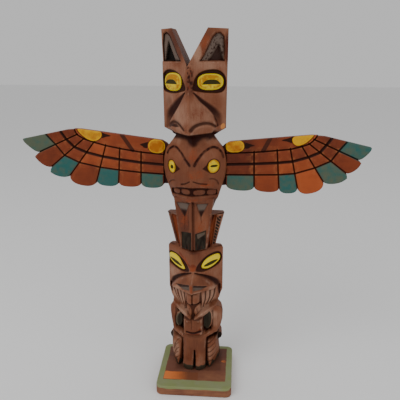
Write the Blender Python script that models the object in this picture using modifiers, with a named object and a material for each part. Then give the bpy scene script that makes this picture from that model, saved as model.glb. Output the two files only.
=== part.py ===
"""Carved souvenir totem pole: one upright, two feathered wings and a base block.

Units are metres and +Z is up. The origin is the middle of the base's underside,
the carved figures face -Y and the wings reach out along X. Sizes below are in
millimetres and go through mm() once, where the geometry is made.

From the top down the upright carries a bird's head with split ears, a rounded
second figure, its tail between two small ears, a toothed lower head and a
crouching body. It is worked as a carver works it: block out the masses, hollow
them, set the proud details, then cut the grooves.
"""

import math
from typing import NamedTuple

import bmesh
import bpy
from mathutils import Matrix, Vector

MM = 0.001
SEAT_GAP = 0.3  # clearance wherever two separate pieces meet

# Upright: shared sizes
POLE_X = -2.8  # the upright stands a little left of the base's middle
POLE_TOP = 305.0
BACK_Y = 23.0
SIDE_Y = 17.0  # where the two front slopes end in the side corners
BACK_TAPER = 1.5

# Bird's head
HEAD_WIDTH = 26.5
HEAD_RIDGE = (-2.0, -6.0)
HEAD_BOTTOM = 226.5
BEAK_RIDGE, BEAK_SIDE_Y = (-1.2, -14.2), 8.0
LEDGE_Z = 280.0  # forehead's upper edge, where the ear hollows end
NOTCH_X, NOTCH_APEX, NOTCH_HALF = -3.0, 275.6, 14.7
HEAD_EYE = (15.6, 264.0, 9.2, 6.9)  # from the ridge, height, half sizes
HEAD_SOCKET = (13.6, 264.4, 10.8, 8.8)
NOSTRIL_R = 1.9

# Second figure
FACE_SIDE_Y = 12.0
FACE_ROUND = 1.35  # 1 is a straight-sided V, 2 a parabola
FACE_PROFILE = (  # height, half-width, front
    (155.0, 14.5, 1.0),
    (165.6, 18.4, -4.0),
    (167.2, 19.8, -7.0),
    (175.0, 22.2, -7.6),
    (185.0, 25.6, -8.2),
    (194.0, 27.0, -7.6),
    (202.0, 26.5, -6.2),
    (210.0, 24.4, -3.4),
    (216.0, 19.5, 0.0),
    (222.5, 15.0, 2.5),
)
FACE_EYE_Z = 196.0
MOUTH_Z, MOUTH_HALF, MOUTH_HIGH, MOUTH_DROOP = 177.4, 18.8, 5.8, 3.2
TEETH = ((-14.4, 5.4), (-4.6, 9.0), (6.6, 8.6), (14.8, 4.8))  # middle, width

# Tail and the small ears beside it
TAIL_TOP, TAIL_BOTTOM = 168.0, 123.0
TAIL_RIDGE = (0.8, -3.6)
EAR_TOPS, EAR_FOOT = (152.4, 153.6), 124.0  # the left ear is the lower one

# Lower head
JAW_HEAD_WIDTH = 24.3
JAW_HEAD_RIDGE = (0.3, -5.0)
JAW_HEAD_TOP = 122.0
JAW_EYE = (15.0, 109.2, 8.2, 4.2)
JAW_EYE_TILT = 20.0
SNOUT_RIDGE, SNOUT_SIDE_Y = (0.6, -12.2), 6.4

# Crouching body
BODY_X = 1.3  # belly, block and feet are carved off the upright's axis
BODY_FOOT = 9.0 + SEAT_GAP  # sawn flat here, just clear of the base
ROUGH_FOOT = BODY_FOOT - 4  # how low the rough blocks run before that

# Wings
WING_FRONT, WING_THICK = 13.5, 6.0
WING_ROOT = 22.3  # from the upright's axis, inside the slot in its side
GROOVE_R = 0.85

# Base
BASE_SIDE, BASE_THICK, BASE_TURN = 65.8, 9.0, 4.0
BASE_CORNER, BASE_EDGE = 5.5, 0.9


class Boundary(NamedTuple):
    """One carved line between two feathers: where it springs, lean and length."""

    x: float
    z: float
    lean: float
    length: float


class Tip(NamedTuple):
    """A feather's end: how far it stands out, and its outer corner's share of that."""

    bulge: float
    corner: float = 0.0  # 0 is a rounded end


LEFT_FAN = (
    Boundary(28.0, 203.0, 0.0, 25.5),
    Boundary(47.3, 204.7, 1.9, 27.5),
    Boundary(66.2, 207.4, 4.6, 30.1),
    Boundary(78.8, 209.7, 17.2, 33.0),
    Boundary(89.3, 212.4, 38.4, 39.1),
    Boundary(98.4, 215.2, 51.0, 41.3),
    Boundary(104.4, 218.8, 65.8, 39.6),
    Boundary(106.5, 223.8, 78.6, 50.6),
)
RIGHT_FAN = (
    Boundary(26.8, 205.4, 0.0, 27.2),
    Boundary(49.6, 207.1, 1.7, 29.6),
    Boundary(68.5, 209.1, 5.0, 32.4),
    Boundary(79.2, 210.4, 12.6, 33.8),
    Boundary(88.4, 212.9, 33.0, 34.9),
    Boundary(94.2, 215.1, 52.8, 38.9),
    Boundary(98.1, 218.8, 66.1, 38.5),
    Boundary(100.3, 222.4, 78.0, 43.7),
)
ROUND_TIPS = (Tip(4.0), Tip(3.7), Tip(4.2), Tip(6.8))
LEFT_TIPS = (*ROUND_TIPS, Tip(6.0, 0.75), Tip(6.6, 0.95), Tip(2.1))
RIGHT_TIPS = (*ROUND_TIPS, Tip(6.2, 0.6), Tip(5.0, 0.75), Tip(2.1))
SHOULDER = (34.5, 216.2)  # top inner corner of a wing
WING_HEEL = 178.0  # lowest point of the wing's inner end


# ---------------------------------------------------------------- scene and helpers
def clear_scene():
    """Remove every object so that the file starts empty."""
    for item in list(bpy.data.objects):
        bpy.data.objects.remove(item, do_unlink=True)


def new_collection(name):
    """Make a collection and link it to the scene."""
    group = bpy.data.collections.new(name)
    bpy.context.scene.collection.children.link(group)
    return group


def mm(x, y, z):
    """A point given in millimetres, as a vector in metres."""
    return Vector((x, y, z)) * MM


def at_pole(x, y, z):
    """A point given from the upright's own axis."""
    return mm(POLE_X + x, y, z)


def link(name, mesh, group):
    """Put a mesh into the scene as an object of the given collection."""
    item = bpy.data.objects.new(name, mesh)
    group.objects.link(item)
    return item


def mesh_from(shape, name):
    """Turn a bmesh into a closed, outward-facing mesh."""
    bmesh.ops.recalc_face_normals(shape, faces=shape.faces)
    mesh = bpy.data.meshes.new(name)
    shape.to_mesh(mesh)
    shape.free()
    return mesh


def loft(name, rings, group):
    """Skin closed rings of equal count, which differ in shape, and cap both ends."""
    shape = bmesh.new()
    loops = [[shape.verts.new(point) for point in ring] for ring in rings]
    count = len(loops[0])
    for lower, upper in zip(loops, loops[1:]):
        for i in range(count):
            j = (i + 1) % count
            shape.faces.new((lower[i], lower[j], upper[j], upper[i]))
    shape.faces.new(loops[0][::-1])
    shape.faces.new(loops[-1])
    bmesh.ops.triangulate(shape, faces=shape.faces)
    return link(name, mesh_from(shape, name), group)


def hull(name, points, group):
    """The tightest convex block round the given points: a chisel-cut mass."""
    shape = bmesh.new()
    for point in points:
        shape.verts.new(point)
    made = bmesh.ops.convex_hull(shape, input=shape.verts)
    inside = [v for v in made["geom_interior"] if isinstance(v, bmesh.types.BMVert)]
    bmesh.ops.delete(shape, geom=inside, context="VERTS")
    return link(name, mesh_from(shape, name), group)


def mesh_from_curve(name, curve, matrix, group):
    """Make a curve's evaluated solid a welded mesh object and drop the curve."""
    source = bpy.data.objects.new(name + "_curve", curve)
    bpy.context.scene.collection.objects.link(source)
    source.matrix_world = matrix
    bpy.context.view_layer.update()
    evaluated = source.evaluated_get(bpy.context.evaluated_depsgraph_get())
    mesh = bpy.data.meshes.new_from_object(evaluated)
    shape = bmesh.new()
    shape.from_mesh(mesh)
    bmesh.ops.remove_doubles(shape, verts=shape.verts, dist=0.00002)
    bmesh.ops.recalc_face_normals(shape, faces=shape.faces)
    shape.to_mesh(mesh)
    shape.free()
    item = link(name, mesh, group)
    item.matrix_world = matrix
    bpy.data.objects.remove(source, do_unlink=True)
    return item


def new_curve(name, points, cyclic):
    """A POLY spline through the points."""
    curve = bpy.data.curves.new(name, "CURVE")
    spline = curve.splines.new("POLY")
    spline.points.add(len(points) - 1)
    for knot, point in zip(spline.points, points):
        knot.co = (*point, 1.0)
    spline.use_cyclic_u = cyclic
    return curve


def slab(name, outline, low, high, matrix, group):
    """A flat outline in its own XY plane, filled from depth low to depth high."""
    curve = new_curve(name, [mm(x, y, 0) for x, y in outline], cyclic=True)
    curve.dimensions = "2D"
    curve.fill_mode = "BOTH"
    curve.extrude = (high - low) / 2 * MM
    middle = Matrix.Translation(mm(0, 0, (high + low) / 2))
    return mesh_from_curve(name, curve, matrix @ middle, group)


def gouge(name, points, radius, group):
    """A square-section bar along a path: half of it sinks in as a V groove."""
    curve = new_curve(name, points, cyclic=False)
    curve.dimensions = "3D"
    curve.bevel_depth = radius * MM
    curve.bevel_resolution = 0
    curve.use_fill_caps = True
    return mesh_from_curve(name, curve, Matrix.Identity(4), group)


def box(name, low, high, group):
    """An upright box between two corners, from the upright's axis."""
    shape = bmesh.new()
    size = Vector(high) - Vector(low)
    middle = (Vector(high) + Vector(low)) / 2
    matrix = Matrix.Translation(at_pole(*middle)) @ Matrix.Diagonal((*(size * MM), 1))
    bmesh.ops.create_cube(shape, size=1, matrix=matrix)
    return link(name, mesh_from(shape, name), group)


def dome(name, matrix, half_x, half_y, half_z, group, segments=20, rings=10):
    """A flattened ball, laid on the plane that the matrix gives."""
    shape = bmesh.new()
    scale = Matrix.Diagonal((half_x * MM, half_y * MM, half_z * MM, 1))
    bmesh.ops.create_uvsphere(
        shape, u_segments=segments, v_segments=rings, radius=1, matrix=matrix @ scale
    )
    return link(name, mesh_from(shape, name), group)


def disc(name, matrix, radius, depth, group, segments=20):
    """A round button standing along the matrix's Z axis."""
    shape = bmesh.new()
    bmesh.ops.create_cone(
        shape,
        cap_ends=True,
        segments=segments,
        radius1=radius * MM,
        radius2=radius * MM,
        depth=depth * MM,
        matrix=matrix,
    )
    return link(name, mesh_from(shape, name), group)


def ellipse(x, y, half_x, half_y, tilt=0.0, count=20):
    """Points round an ellipse, tilted by degrees."""
    turn = math.radians(tilt)
    points = []
    for i in range(count):
        a = 2 * math.pi * i / count
        u, v = half_x * math.cos(a), half_y * math.sin(a)
        points.append(
            (
                x + u * math.cos(turn) - v * math.sin(turn),
                y + u * math.sin(turn) + v * math.cos(turn),
            )
        )
    return points


def apply_groups(target, steps):
    """Join or cut the blocks of each group one by one, in the carver's order."""
    for operation, group in steps:
        for tool in group.objects:
            modifier = target.modifiers.new(tool.name, "BOOLEAN")
            modifier.operation = operation
            modifier.solver = "EXACT"
            modifier.object = tool


def cut_all(target, group):
    """Cut crossing grooves together, as one shape."""
    modifier = target.modifiers.new(group.name, "BOOLEAN")
    modifier.operation = "DIFFERENCE"
    modifier.solver = "EXACT"
    modifier.operand_type = "COLLECTION"
    modifier.collection = group


def paint(item, name, colour, roughness):
    """Give a piece its own finish."""
    material = bpy.data.materials.new(name)
    material.use_nodes = True
    shader = material.node_tree.nodes["Principled BSDF"]
    shader.inputs["Base Color"].default_value = (*colour, 1)
    shader.inputs["Roughness"].default_value = roughness
    shader.inputs["Metallic"].default_value = 0.0
    item.data.materials.clear()
    item.data.materials.append(material)


# ---------------------------------------------------------------- the two front slopes
class Slope:
    """One of the two planes that fall back from a figure's front ridge.

    In its own frame X runs along the slope, Y is up and Z points out of the wood.
    """

    def __init__(self, side, ridge, half_width, side_y=SIDE_Y):
        self.side = side
        run = half_width - side * ridge[0]
        self.angle = math.atan2(side_y - ridge[1], run)
        turn = Matrix.Rotation(side * self.angle, 4, "Z")
        stand = Matrix.Rotation(math.pi / 2, 4, "X")
        self.matrix = Matrix.Translation(at_pole(*ridge, 0)) @ turn @ stand

    def along(self, distance):
        """A sideways distance from the ridge, measured along the slope instead."""
        return self.side * distance / math.cos(self.angle)

    def point(self, distance, z, lift=0.0):
        """The point at a sideways distance from the ridge, raised by lift."""
        return self.matrix @ mm(self.along(distance), z, lift)

    def frame(self, distance, z, tilt=0.0, lift=0.0):
        """A frame lying on the slope at that point, tilted by degrees."""
        place = Matrix.Translation(mm(self.along(distance), z, lift))
        turn = Matrix.Rotation(math.radians(self.side * tilt), 4, "Z")
        return self.matrix @ place @ turn

    def outline(self, points):
        """Turn (distance, height) pairs into points of the slope's own plane."""
        return [(self.along(distance), z) for distance, z in points]

    def oval(self, oval, tilt=0.0):
        """An ellipse given by its distance, height and two half sizes."""
        distance, z, half_x, half_z = oval
        long_half = half_x / math.cos(self.angle)
        return ellipse(self.along(distance), z, long_half, half_z, self.side * tilt)


def slopes(ridge, half_width, side_y=SIDE_Y):
    """The left and right slopes of a figure."""
    return [Slope(side, ridge, half_width, side_y) for side in (-1, 1)]


def facing():
    """A frame on the upright's axis whose Z points to the front."""
    return Matrix.Translation(at_pole(0, 0, 0)) @ Matrix.Rotation(math.pi / 2, 4, "X")


def vee_ring(z, half_width, ridge, flat=2.2, side_y=SIDE_Y):
    """A V-fronted section with a blunted ridge, square sides and a flat back."""
    ridge_x, ridge_y = ridge
    left = (side_y - ridge_y) / (half_width + ridge_x)
    right = (side_y - ridge_y) / (half_width - ridge_x)
    back = half_width - BACK_TAPER
    return [
        at_pole(ridge_x - flat, ridge_y + flat * left, z),
        at_pole(ridge_x + flat, ridge_y + flat * right, z),
        at_pole(half_width, side_y, z),
        at_pole(back, BACK_Y, z),
        at_pole(-back, BACK_Y, z),
        at_pole(-half_width, side_y, z),
    ]


def egg_front(x, half_width, front, side_y=FACE_SIDE_Y):
    """Depth of the rounded face at x: the front plus a power of x over the width."""
    return front + (side_y - front) * abs(x / half_width) ** FACE_ROUND


def egg_ring(z, half_width, front, count=12):
    """A section of the rounded second figure."""
    points = []
    for i in range(count + 1):
        x = half_width * math.sin(math.pi / 2 * (2 * i / count - 1))
        points.append(at_pole(x, egg_front(x, half_width, front), z))
    back = half_width - 2 * BACK_TAPER
    return points + [at_pole(back, BACK_Y, z), at_pole(-back, BACK_Y, z)]


def face_size(z):
    """Half-width and front of the second figure at a height, between its stations."""
    for (z0, w0, f0), (z1, w1, f1) in zip(FACE_PROFILE, FACE_PROFILE[1:]):
        if z <= z1:
            break
    t = (z - z0) / (z1 - z0)
    return w0 + t * (w1 - w0), f0 + t * (f1 - f0)


def on_face(x, z, lift=0.0):
    """A point on the second figure's rounded front, raised by lift."""
    half_width, front = face_size(z)
    return at_pole(x, egg_front(x, half_width, front) - lift, z)


def face_frame(x, z, lift=0.0):
    """A frame lying on the rounded front at x and z, with Z out of the wood."""
    half_width, front = face_size(z)
    step = egg_front(x + 0.5, half_width, front) - egg_front(x - 0.5, half_width, front)
    turn = Matrix.Rotation(math.atan(step), 4, "Z")
    stand = Matrix.Rotation(math.pi / 2, 4, "X")
    return Matrix.Translation(on_face(x, z, lift)) @ turn @ stand


# ---------------------------------------------------------------- bird's head
def block_out_head(masses):
    """The V-fronted head block and the beak that stands out of it."""
    stations = (
        (220.5, 15.0, (0.0, 1.5)),
        (HEAD_BOTTOM, HEAD_WIDTH - 0.6, HEAD_RIDGE),
        (LEDGE_Z, HEAD_WIDTH, HEAD_RIDGE),
        (POLE_TOP, HEAD_WIDTH + 0.3, HEAD_RIDGE),
    )
    rings = [vee_ring(z, width, ridge) for z, width, ridge in stations]
    loft("head_block", rings, masses)
    beak = [
        at_pole(-2.0, -7.4, 257.6),
        at_pole(*BEAK_RIDGE, 229.5),
        at_pole(-1.0, -14.0, 223.0),
        at_pole(-20.8, BEAK_SIDE_Y, 232.0),
        at_pole(-20.8, 8.6, 227.6),
        at_pole(-15.5, 5.0, 223.4),
        at_pole(18.6, 7.6, 232.0),
        at_pole(18.6, 8.2, 227.2),
        at_pole(14.0, 4.6, 223.0),
        at_pole(-15.0, 16.0, 224.0),
        at_pole(13.5, 16.0, 224.0),
        at_pole(-2.0, 4.0, 257.0),
    ]
    hull("beak", beak, masses)


def hollow_head(hollows):
    """The notch between the ears, the ear hollows, the sockets and beak grooves."""
    rise = POLE_TOP - NOTCH_APEX
    over = 1.2  # the cutter runs on past the top
    notch = [
        (NOTCH_X, NOTCH_APEX),
        (NOTCH_X + NOTCH_HALF * over, NOTCH_APEX + rise * over),
        (NOTCH_X - NOTCH_HALF * over, NOTCH_APEX + rise * over),
    ]
    slab("ear_notch", notch, -30, 30, facing(), hollows)
    for slope in slopes(HEAD_RIDGE, HEAD_WIDTH):
        name = "left" if slope.side < 0 else "right"
        near, far = (7.5, 23.6) if slope.side < 0 else (8.6, 25.4)
        middle = far - 3.8
        arch = [(near, LEDGE_Z), (near + 3.6, LEDGE_Z + 8), (near + 8.0, LEDGE_Z + 17)]
        arch += [(middle - 2.6, 301.6), (middle, 303.0), (middle + 2.2, 301.4)]
        arch += [(far, 296.0), (far, LEDGE_Z)]
        slab(f"ear_hollow_{name}", slope.outline(arch), -2.2, 6, slope.matrix, hollows)
        pit = [(middle, 295.0), (middle - 5.0, LEDGE_Z), (middle + 3.0, LEDGE_Z)]
        slab(f"ear_pit_{name}", slope.outline(pit), -5.0, 6, slope.matrix, hollows)
        socket = slope.oval(HEAD_SOCKET)
        slab(f"head_socket_{name}", socket, -2.4, 4, slope.matrix, hollows)
        groove = [slope.point(2.6, 258.0), slope.point(12.5, 247.5, 0.4)]
        groove += [slope.point(20.5, 236.5, 0.4), slope.point(22.4, 226.0)]
        gouge(f"beak_groove_{name}", groove, 2.6, hollows)


def detail_head(details, grooves):
    """Eyes, and the nostrils cut into the beak."""
    for slope in slopes(HEAD_RIDGE, HEAD_WIDTH):
        name = "left" if slope.side < 0 else "right"
        distance, z, half_x, half_z = HEAD_EYE
        frame = slope.frame(distance, z, lift=-2.4)
        wide = half_x / math.cos(slope.angle)
        dome(f"head_eye_{name}", frame, wide, half_z, 2.9, details)
    for slope in slopes(BEAK_RIDGE, 19.6, BEAK_SIDE_Y):
        name = "left" if slope.side < 0 else "right"
        arch = []
        for i in range(8):
            share = i / 7
            rise = 5.6 * math.sin(math.pi * (0.12 + 0.8 * share))
            arch.append(slope.point(3.2 + 13.6 * share, 226.6 + rise, 0.1))
        gouge(f"nostril_{name}", arch, NOSTRIL_R, grooves)


# ---------------------------------------------------------------- second figure
def block_out_face(masses):
    """The rounded face below the head, full at the cheeks and drawn in at the chin."""
    rings = [egg_ring(z, width, front) for z, width, front in FACE_PROFILE]
    loft("second_face", rings, masses)


def mouth_z(x):
    """The mouth's middle line, which droops towards its corners."""
    return MOUTH_Z - MOUTH_DROOP * (x / MOUTH_HALF) ** 2


def hollow_face(hollows):
    """The long mouth slot, a bent bar that follows the rounded front."""
    stations = [MOUTH_HALF * (2 * i / 8 - 1) for i in range(9)]
    rings = []
    for x in stations:
        z = mouth_z(x)
        half = MOUTH_HIGH / 2 * math.sqrt(1.02 - (x / MOUTH_HALF) ** 2 * 0.6)
        deep, out = on_face(x, z, -2.2), on_face(x, z, 5)
        rings.append(
            [
                deep + mm(0, 0, -half),
                deep + mm(0, 0, half),
                out + mm(0, 0, half + 0.4),
                out + mm(0, 0, -half - 0.4),
            ]
        )
    loft("second_mouth", rings, hollows)


def detail_face(details, grooves):
    """Teeth, eyes, brow lines, nostrils and cheek cuts."""
    for i, (x, width) in enumerate(TEETH):
        frame = face_frame(x, mouth_z(x), -2.6)
        high = MOUTH_HIGH / 2 - 0.4
        wide, cut = width / 2 / math.cos(math.atan(0.7)), 1.0
        tooth = [(wide, cut - high), (wide, high - cut), (wide - cut, high)]
        tooth += [(cut - wide, high), (-wide, high - cut), (-wide, cut - high)]
        tooth += [(cut - wide, -high), (wide - cut, -high)]
        slab(f"second_tooth_{i}", tooth, -1.0, 1.9, frame, details)
    for side, x, half_x in ((-1, 18.2, 4.3), (1, 17.2, 5.6)):
        name = "left" if side < 0 else "right"
        frame = face_frame(side * x, FACE_EYE_Z, -0.9)
        dome(f"second_eye_{name}", frame, half_x, 5.4, 2.0, details, 16, 8)
        brow = [on_face(side * 0.6, 198.2)]
        for angle in (140, 112, 84, 56, 28, 0, -20):
            turn = math.radians(angle)
            brow.append(
                on_face(side * (16.8 + 7.6 * math.cos(turn)), 200 + 12 * math.sin(turn))
            )
        gouge(f"second_brow_{name}", brow, 0.85, grooves)
        wing = [on_face(side * 1.2, 185.3), on_face(side * 10.5, 182.0)]
        gouge(f"second_nostril_{name}", wing, 0.7, grooves)
        cheek = [on_face(side * 15.6, 185.4), on_face(side * 21.0, 180.8)]
        gouge(f"second_cheek_{name}", cheek, 0.7, grooves)
        corner = [on_face(side * 9.8, 195.2), on_face(side * 13.4, 191.6)]
        corner += [on_face(side * 18.0, 189.8)]
        gouge(f"second_lid_{name}", corner, 0.7, grooves)


# ---------------------------------------------------------------- tail and small ears
def block_out_tail(masses):
    """The tapering tail block and the two flared ears behind it."""
    x, front = TAIL_RIDGE
    rings = []
    for z, width, edge in ((TAIL_BOTTOM, 11.4, 2.4), (TAIL_TOP, 17.2, 5.0)):
        rings.append(
            [
                at_pole(x, front, z),
                at_pole(width, edge, z),
                at_pole(width, 21, z),
                at_pole(-width, 21, z),
                at_pole(-width, edge, z),
            ]
        )
    loft("tail_block", rings, masses)
    for side in (-1, 1):
        ear = []
        for z, step, out in ((EAR_TOPS[side > 0], 21.3, 24.9), (EAR_FOOT - 3, 14.6, 16.8)):
            ear += [at_pole(side * 9, 12, z), at_pole(side * step, 11.5, z)]
            ear += [at_pole(side * out, 15.5, z), at_pole(side * out, 21.5, z)]
            ear += [at_pole(side * 9, 21.5, z)]
        hull(f"small_ear_{'left' if side < 0 else 'right'}", ear, masses)


def hollow_tail(hollows):
    """The sunk triangles and the dark panels below them."""
    for slope in slopes(TAIL_RIDGE, 15.5, 4.0):
        name = "left" if slope.side < 0 else "right"
        high = [(2.2, 165.5), (12.8, 164.0), (6.6, 153.6)]
        slab(
            f"tail_triangle_{name}",
            slope.outline(high),
            -1.0,
            5,
            slope.matrix,
            hollows,
        )
        low = [(2.0, 139.6), (9.9, 138.6), (9.9, 123.4), (2.0, 123.4)]
        slab(f"tail_panel_{name}", slope.outline(low), -1.2, 5, slope.matrix, hollows)


def groove_tail(grooves):
    """The split between the tail's strips, and the ribs in the dark panels."""
    x, front = TAIL_RIDGE
    split = [at_pole(x, front - 0.2, 167.0), at_pole(x, front - 0.2, 122.4)]
    gouge("tail_split", split, 1.5, grooves)
    for slope in slopes(TAIL_RIDGE, 15.5, 4.0):
        for i, distance in enumerate((4.6, 7.2)):
            rib = [slope.point(distance, 139.0, -1.0)]
            rib += [slope.point(distance, 124.0, -1.0)]
            gouge(f"tail_rib_{slope.side}_{i}", rib, 0.6, grooves)


# ---------------------------------------------------------------- lower head
def block_out_jaw_head(masses):
    """The toothed head: block, snout and the rim of the lower jaw."""
    rings = []
    for z, width in ((57.0, 17.0), (63.0, 20.4), (72.0, 23.8), (78.0, JAW_HEAD_WIDTH)):
        rings.append(vee_ring(z, width, JAW_HEAD_RIDGE))
    rings.append(vee_ring(JAW_HEAD_TOP - 1.6, JAW_HEAD_WIDTH, JAW_HEAD_RIDGE))
    rings.append(vee_ring(JAW_HEAD_TOP, JAW_HEAD_WIDTH - 1.4, (0.3, -3.6)))
    loft("jaw_head_block", rings, masses)
    snout = [
        at_pole(0.7, -6.2, 102.4),
        at_pole(*SNOUT_RIDGE, 95.4),
        at_pole(0.2, -11.6, 85.4),
        at_pole(-21.2, SNOUT_SIDE_Y, 83.8),
        at_pole(19.0, SNOUT_SIDE_Y, 84.4),
        at_pole(0.5, 3.0, 99.4),
        at_pole(-20.4, 13.2, 84.0),
        at_pole(18.2, 13.2, 84.4),
    ]
    hull("snout", snout, masses)
    for side in (-1, 1):
        rim = []
        for x, y, z in ((20.6, 8.0, 67.4), (1.4, -10.6, 60.0)):
            rim += [at_pole(side * x + 0.6, y, z + 1.8), at_pole(side * x + 0.6, y, z)]
            rim += [at_pole(side * x + 0.6, y + 7, z + 1.2)]
            rim += [at_pole(side * x + 0.6, y + 7, z - 3.4)]
            rim += [at_pole(side * x + 0.6, y + 1.4, z - 2.4)]
        hull(f"jaw_rim_{'left' if side < 0 else 'right'}", rim, masses)


def hollow_jaw_head(hollows):
    """Slanted eye sockets, the arch over the snout, and the nostrils."""
    for slope in slopes(JAW_HEAD_RIDGE, JAW_HEAD_WIDTH):
        name = "left" if slope.side < 0 else "right"
        distance, z, half_x, half_z = JAW_EYE
        socket = slope.oval(
            (distance - 0.6, z, half_x + 2.0, half_z + 1.9), JAW_EYE_TILT
        )
        slab(f"jaw_socket_{name}", socket, -2.2, 5, slope.matrix, hollows)
        arch = []
        for i in range(7):
            share = i / 6
            high = 102.4 - 3.0 * share - 15.6 * share**2
            arch.append(slope.point(1.0 + 21.2 * share, high, 0.2))
        gouge(f"snout_arch_{name}", arch, 1.9, hollows)
    for slope in slopes(SNOUT_RIDGE, 20.0, SNOUT_SIDE_Y):
        name = "left" if slope.side < 0 else "right"
        nostril = [(1.7, 93.4), (11.8, 89.6), (1.7, 88.0)]
        slab(
            f"snout_nostril_{name}",
            slope.outline(nostril),
            -2.0,
            5,
            slope.matrix,
            hollows,
        )


def detail_jaw_head(details, grooves):
    """Eyes, front teeth and tusks, and the fluted side teeth."""
    for slope in slopes(JAW_HEAD_RIDGE, JAW_HEAD_WIDTH):
        name = "left" if slope.side < 0 else "right"
        distance, z, half_x, half_z = JAW_EYE
        frame = slope.frame(distance, z, JAW_EYE_TILT, -2.0)
        wide = half_x / math.cos(slope.angle)
        dome(f"jaw_eye_{name}", frame, wide, half_z, 2.4, details, 16, 8)
        for i, distance in enumerate((5.8, 9.2, 12.8, 16.6)):
            low = 63.4 + 0.34 * distance
            high = 86.6 - 0.16 * distance
            flute = [slope.point(distance - 0.8, low), slope.point(distance + 1.4, high)]
            gouge(f"jaw_flute_{name}_{i}", flute, 1.25, grooves)
    for side in (-1, 1):
        upper = ellipse(side * 2.9 + 0.5, 79.4, 2.5, 6.2, count=12)
        lower = ellipse(side * 2.7 + 0.5, 67.2, 2.4, 5.2, side * 10, count=12)
        slab(f"jaw_tooth_{side}", upper, -1.0, 7.2, facing(), details)
        slab(f"jaw_tusk_{side}", lower, -1.0, 8.0, facing(), details)


# ---------------------------------------------------------------- crouching body
def block_out_body(masses):
    """Trunk, belly with its two legs, arms, centre block and side limbs."""
    rings = []
    for z, width, front in (
        (ROUGH_FOOT, 22.2, 1.0),
        (24.0, 22.0, 2.0),
        (40.0, 19.6, 3.0),
        (61.0, 19.4, 3.0),
    ):
        rings.append(vee_ring(z, width, (BODY_X, front), flat=7.0))
    loft("body_trunk", rings, masses)
    belly = []
    for z, half, front in (
        (ROUGH_FOOT - 0.5, 10.2, -8.2),
        (13.0, 10.4, -8.6),
        (17.0, 10.0, -6.8),
        (30.0, 10.2, -6.0),
        (39.0, 10.6, -4.6),
        (44.0, 9.0, -1.0),
    ):
        belly.append(
            [
                at_pole(BODY_X - half * 0.7, front, z),
                at_pole(BODY_X + half * 0.7, front, z),
                at_pole(BODY_X + half, front + 3.0, z),
                at_pole(BODY_X + half, 12, z),
                at_pole(BODY_X - half, 12, z),
                at_pole(BODY_X - half, front + 3.0, z),
            ]
        )
    loft("belly_and_legs", belly, masses)
    box("centre_block", (-7.5, -8.4, 44.4), (8.8, 8, 60.0), masses)
    for side in (-1, 1):
        name = "left" if side < 0 else "right"
        arm = [
            at_pole(side * 15.5, 5.5, 62.5),
            at_pole(side * 20.0, 6.5, 62.5),
            at_pole(side * 24.4, 12.5, 61.0),
            at_pole(side * 24.2, 15.5, 50.0),
            at_pole(side * 21.2, 11.5, 40.0),
            at_pole(side * 17.5, 4.5, 41.0),
            at_pole(side * 18.5, 3.8, 52.0),
            at_pole(side * 23.8, 20.7, 61.0),
            at_pole(side * 20.9, 20.3, 40.0),
            at_pole(side * 14.2, 19.6, 50.0),
        ]
        hull(f"arm_{name}", arm, masses)
        forearm = []
        for x, y, z in ((21.6, 7.6, 43.2), (9.0, -2.4, 39.0)):
            forearm += [at_pole(side * x, y, z + 2.2), at_pole(side * x, y, z - 1.6)]
            forearm += [at_pole(side * (x - 2.7), y + 7, z + 3.1)]
            forearm += [at_pole(side * (x - 2.3), y + 7, z - 3.4)]
        hull(f"forearm_{name}", forearm, masses)
        limb = [
            at_pole(side * 11.5 + 1, 0.5, 34.0),
            at_pole(side * 21.0, 5.5, 36.0),
            at_pole(side * 22.8, 12.0, 34.0),
            at_pole(side * 23.6, 13.0, 18.0),
            at_pole(side * 21.6, 12.0, ROUGH_FOOT - 1),
            at_pole(side * 14.4 + 1, -3.4, ROUGH_FOOT - 1),
            at_pole(side * 14.0 + 1, -3.6, 14.0),
            at_pole(side * 19.0, 0.6, 20.0),
            at_pole(side * 21.6, 20.4, 34.0),
            at_pole(side * 21.0, 20.2, ROUGH_FOOT - 1),
            at_pole(side * 7.2, 9.3, ROUGH_FOOT - 1),
            at_pole(side * 6.4, 9.8, 33.0),
        ]
        hull(f"side_limb_{name}", limb, masses)
        lie = Matrix.Rotation(math.pi / 2 * side, 4, "Y")
        knee = Matrix.Translation(at_pole(side * 20.9, 12.8, 34.6)) @ lie
        disc(f"knee_disc_{name}", knee, 3.9, 5.6, masses, 16)
        shoulder = Matrix.Translation(at_pole(side * 13.0 + 0.8, 5.6, 54.0))
        shoulder @= Matrix.Rotation(math.radians(90), 4, "X")
        shoulder @= Matrix.Diagonal((0.62, 1.0, 1.0, 1.0))
        disc(f"shoulder_disc_{name}", shoulder, 8.2, 6.0, masses, 16)


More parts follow.
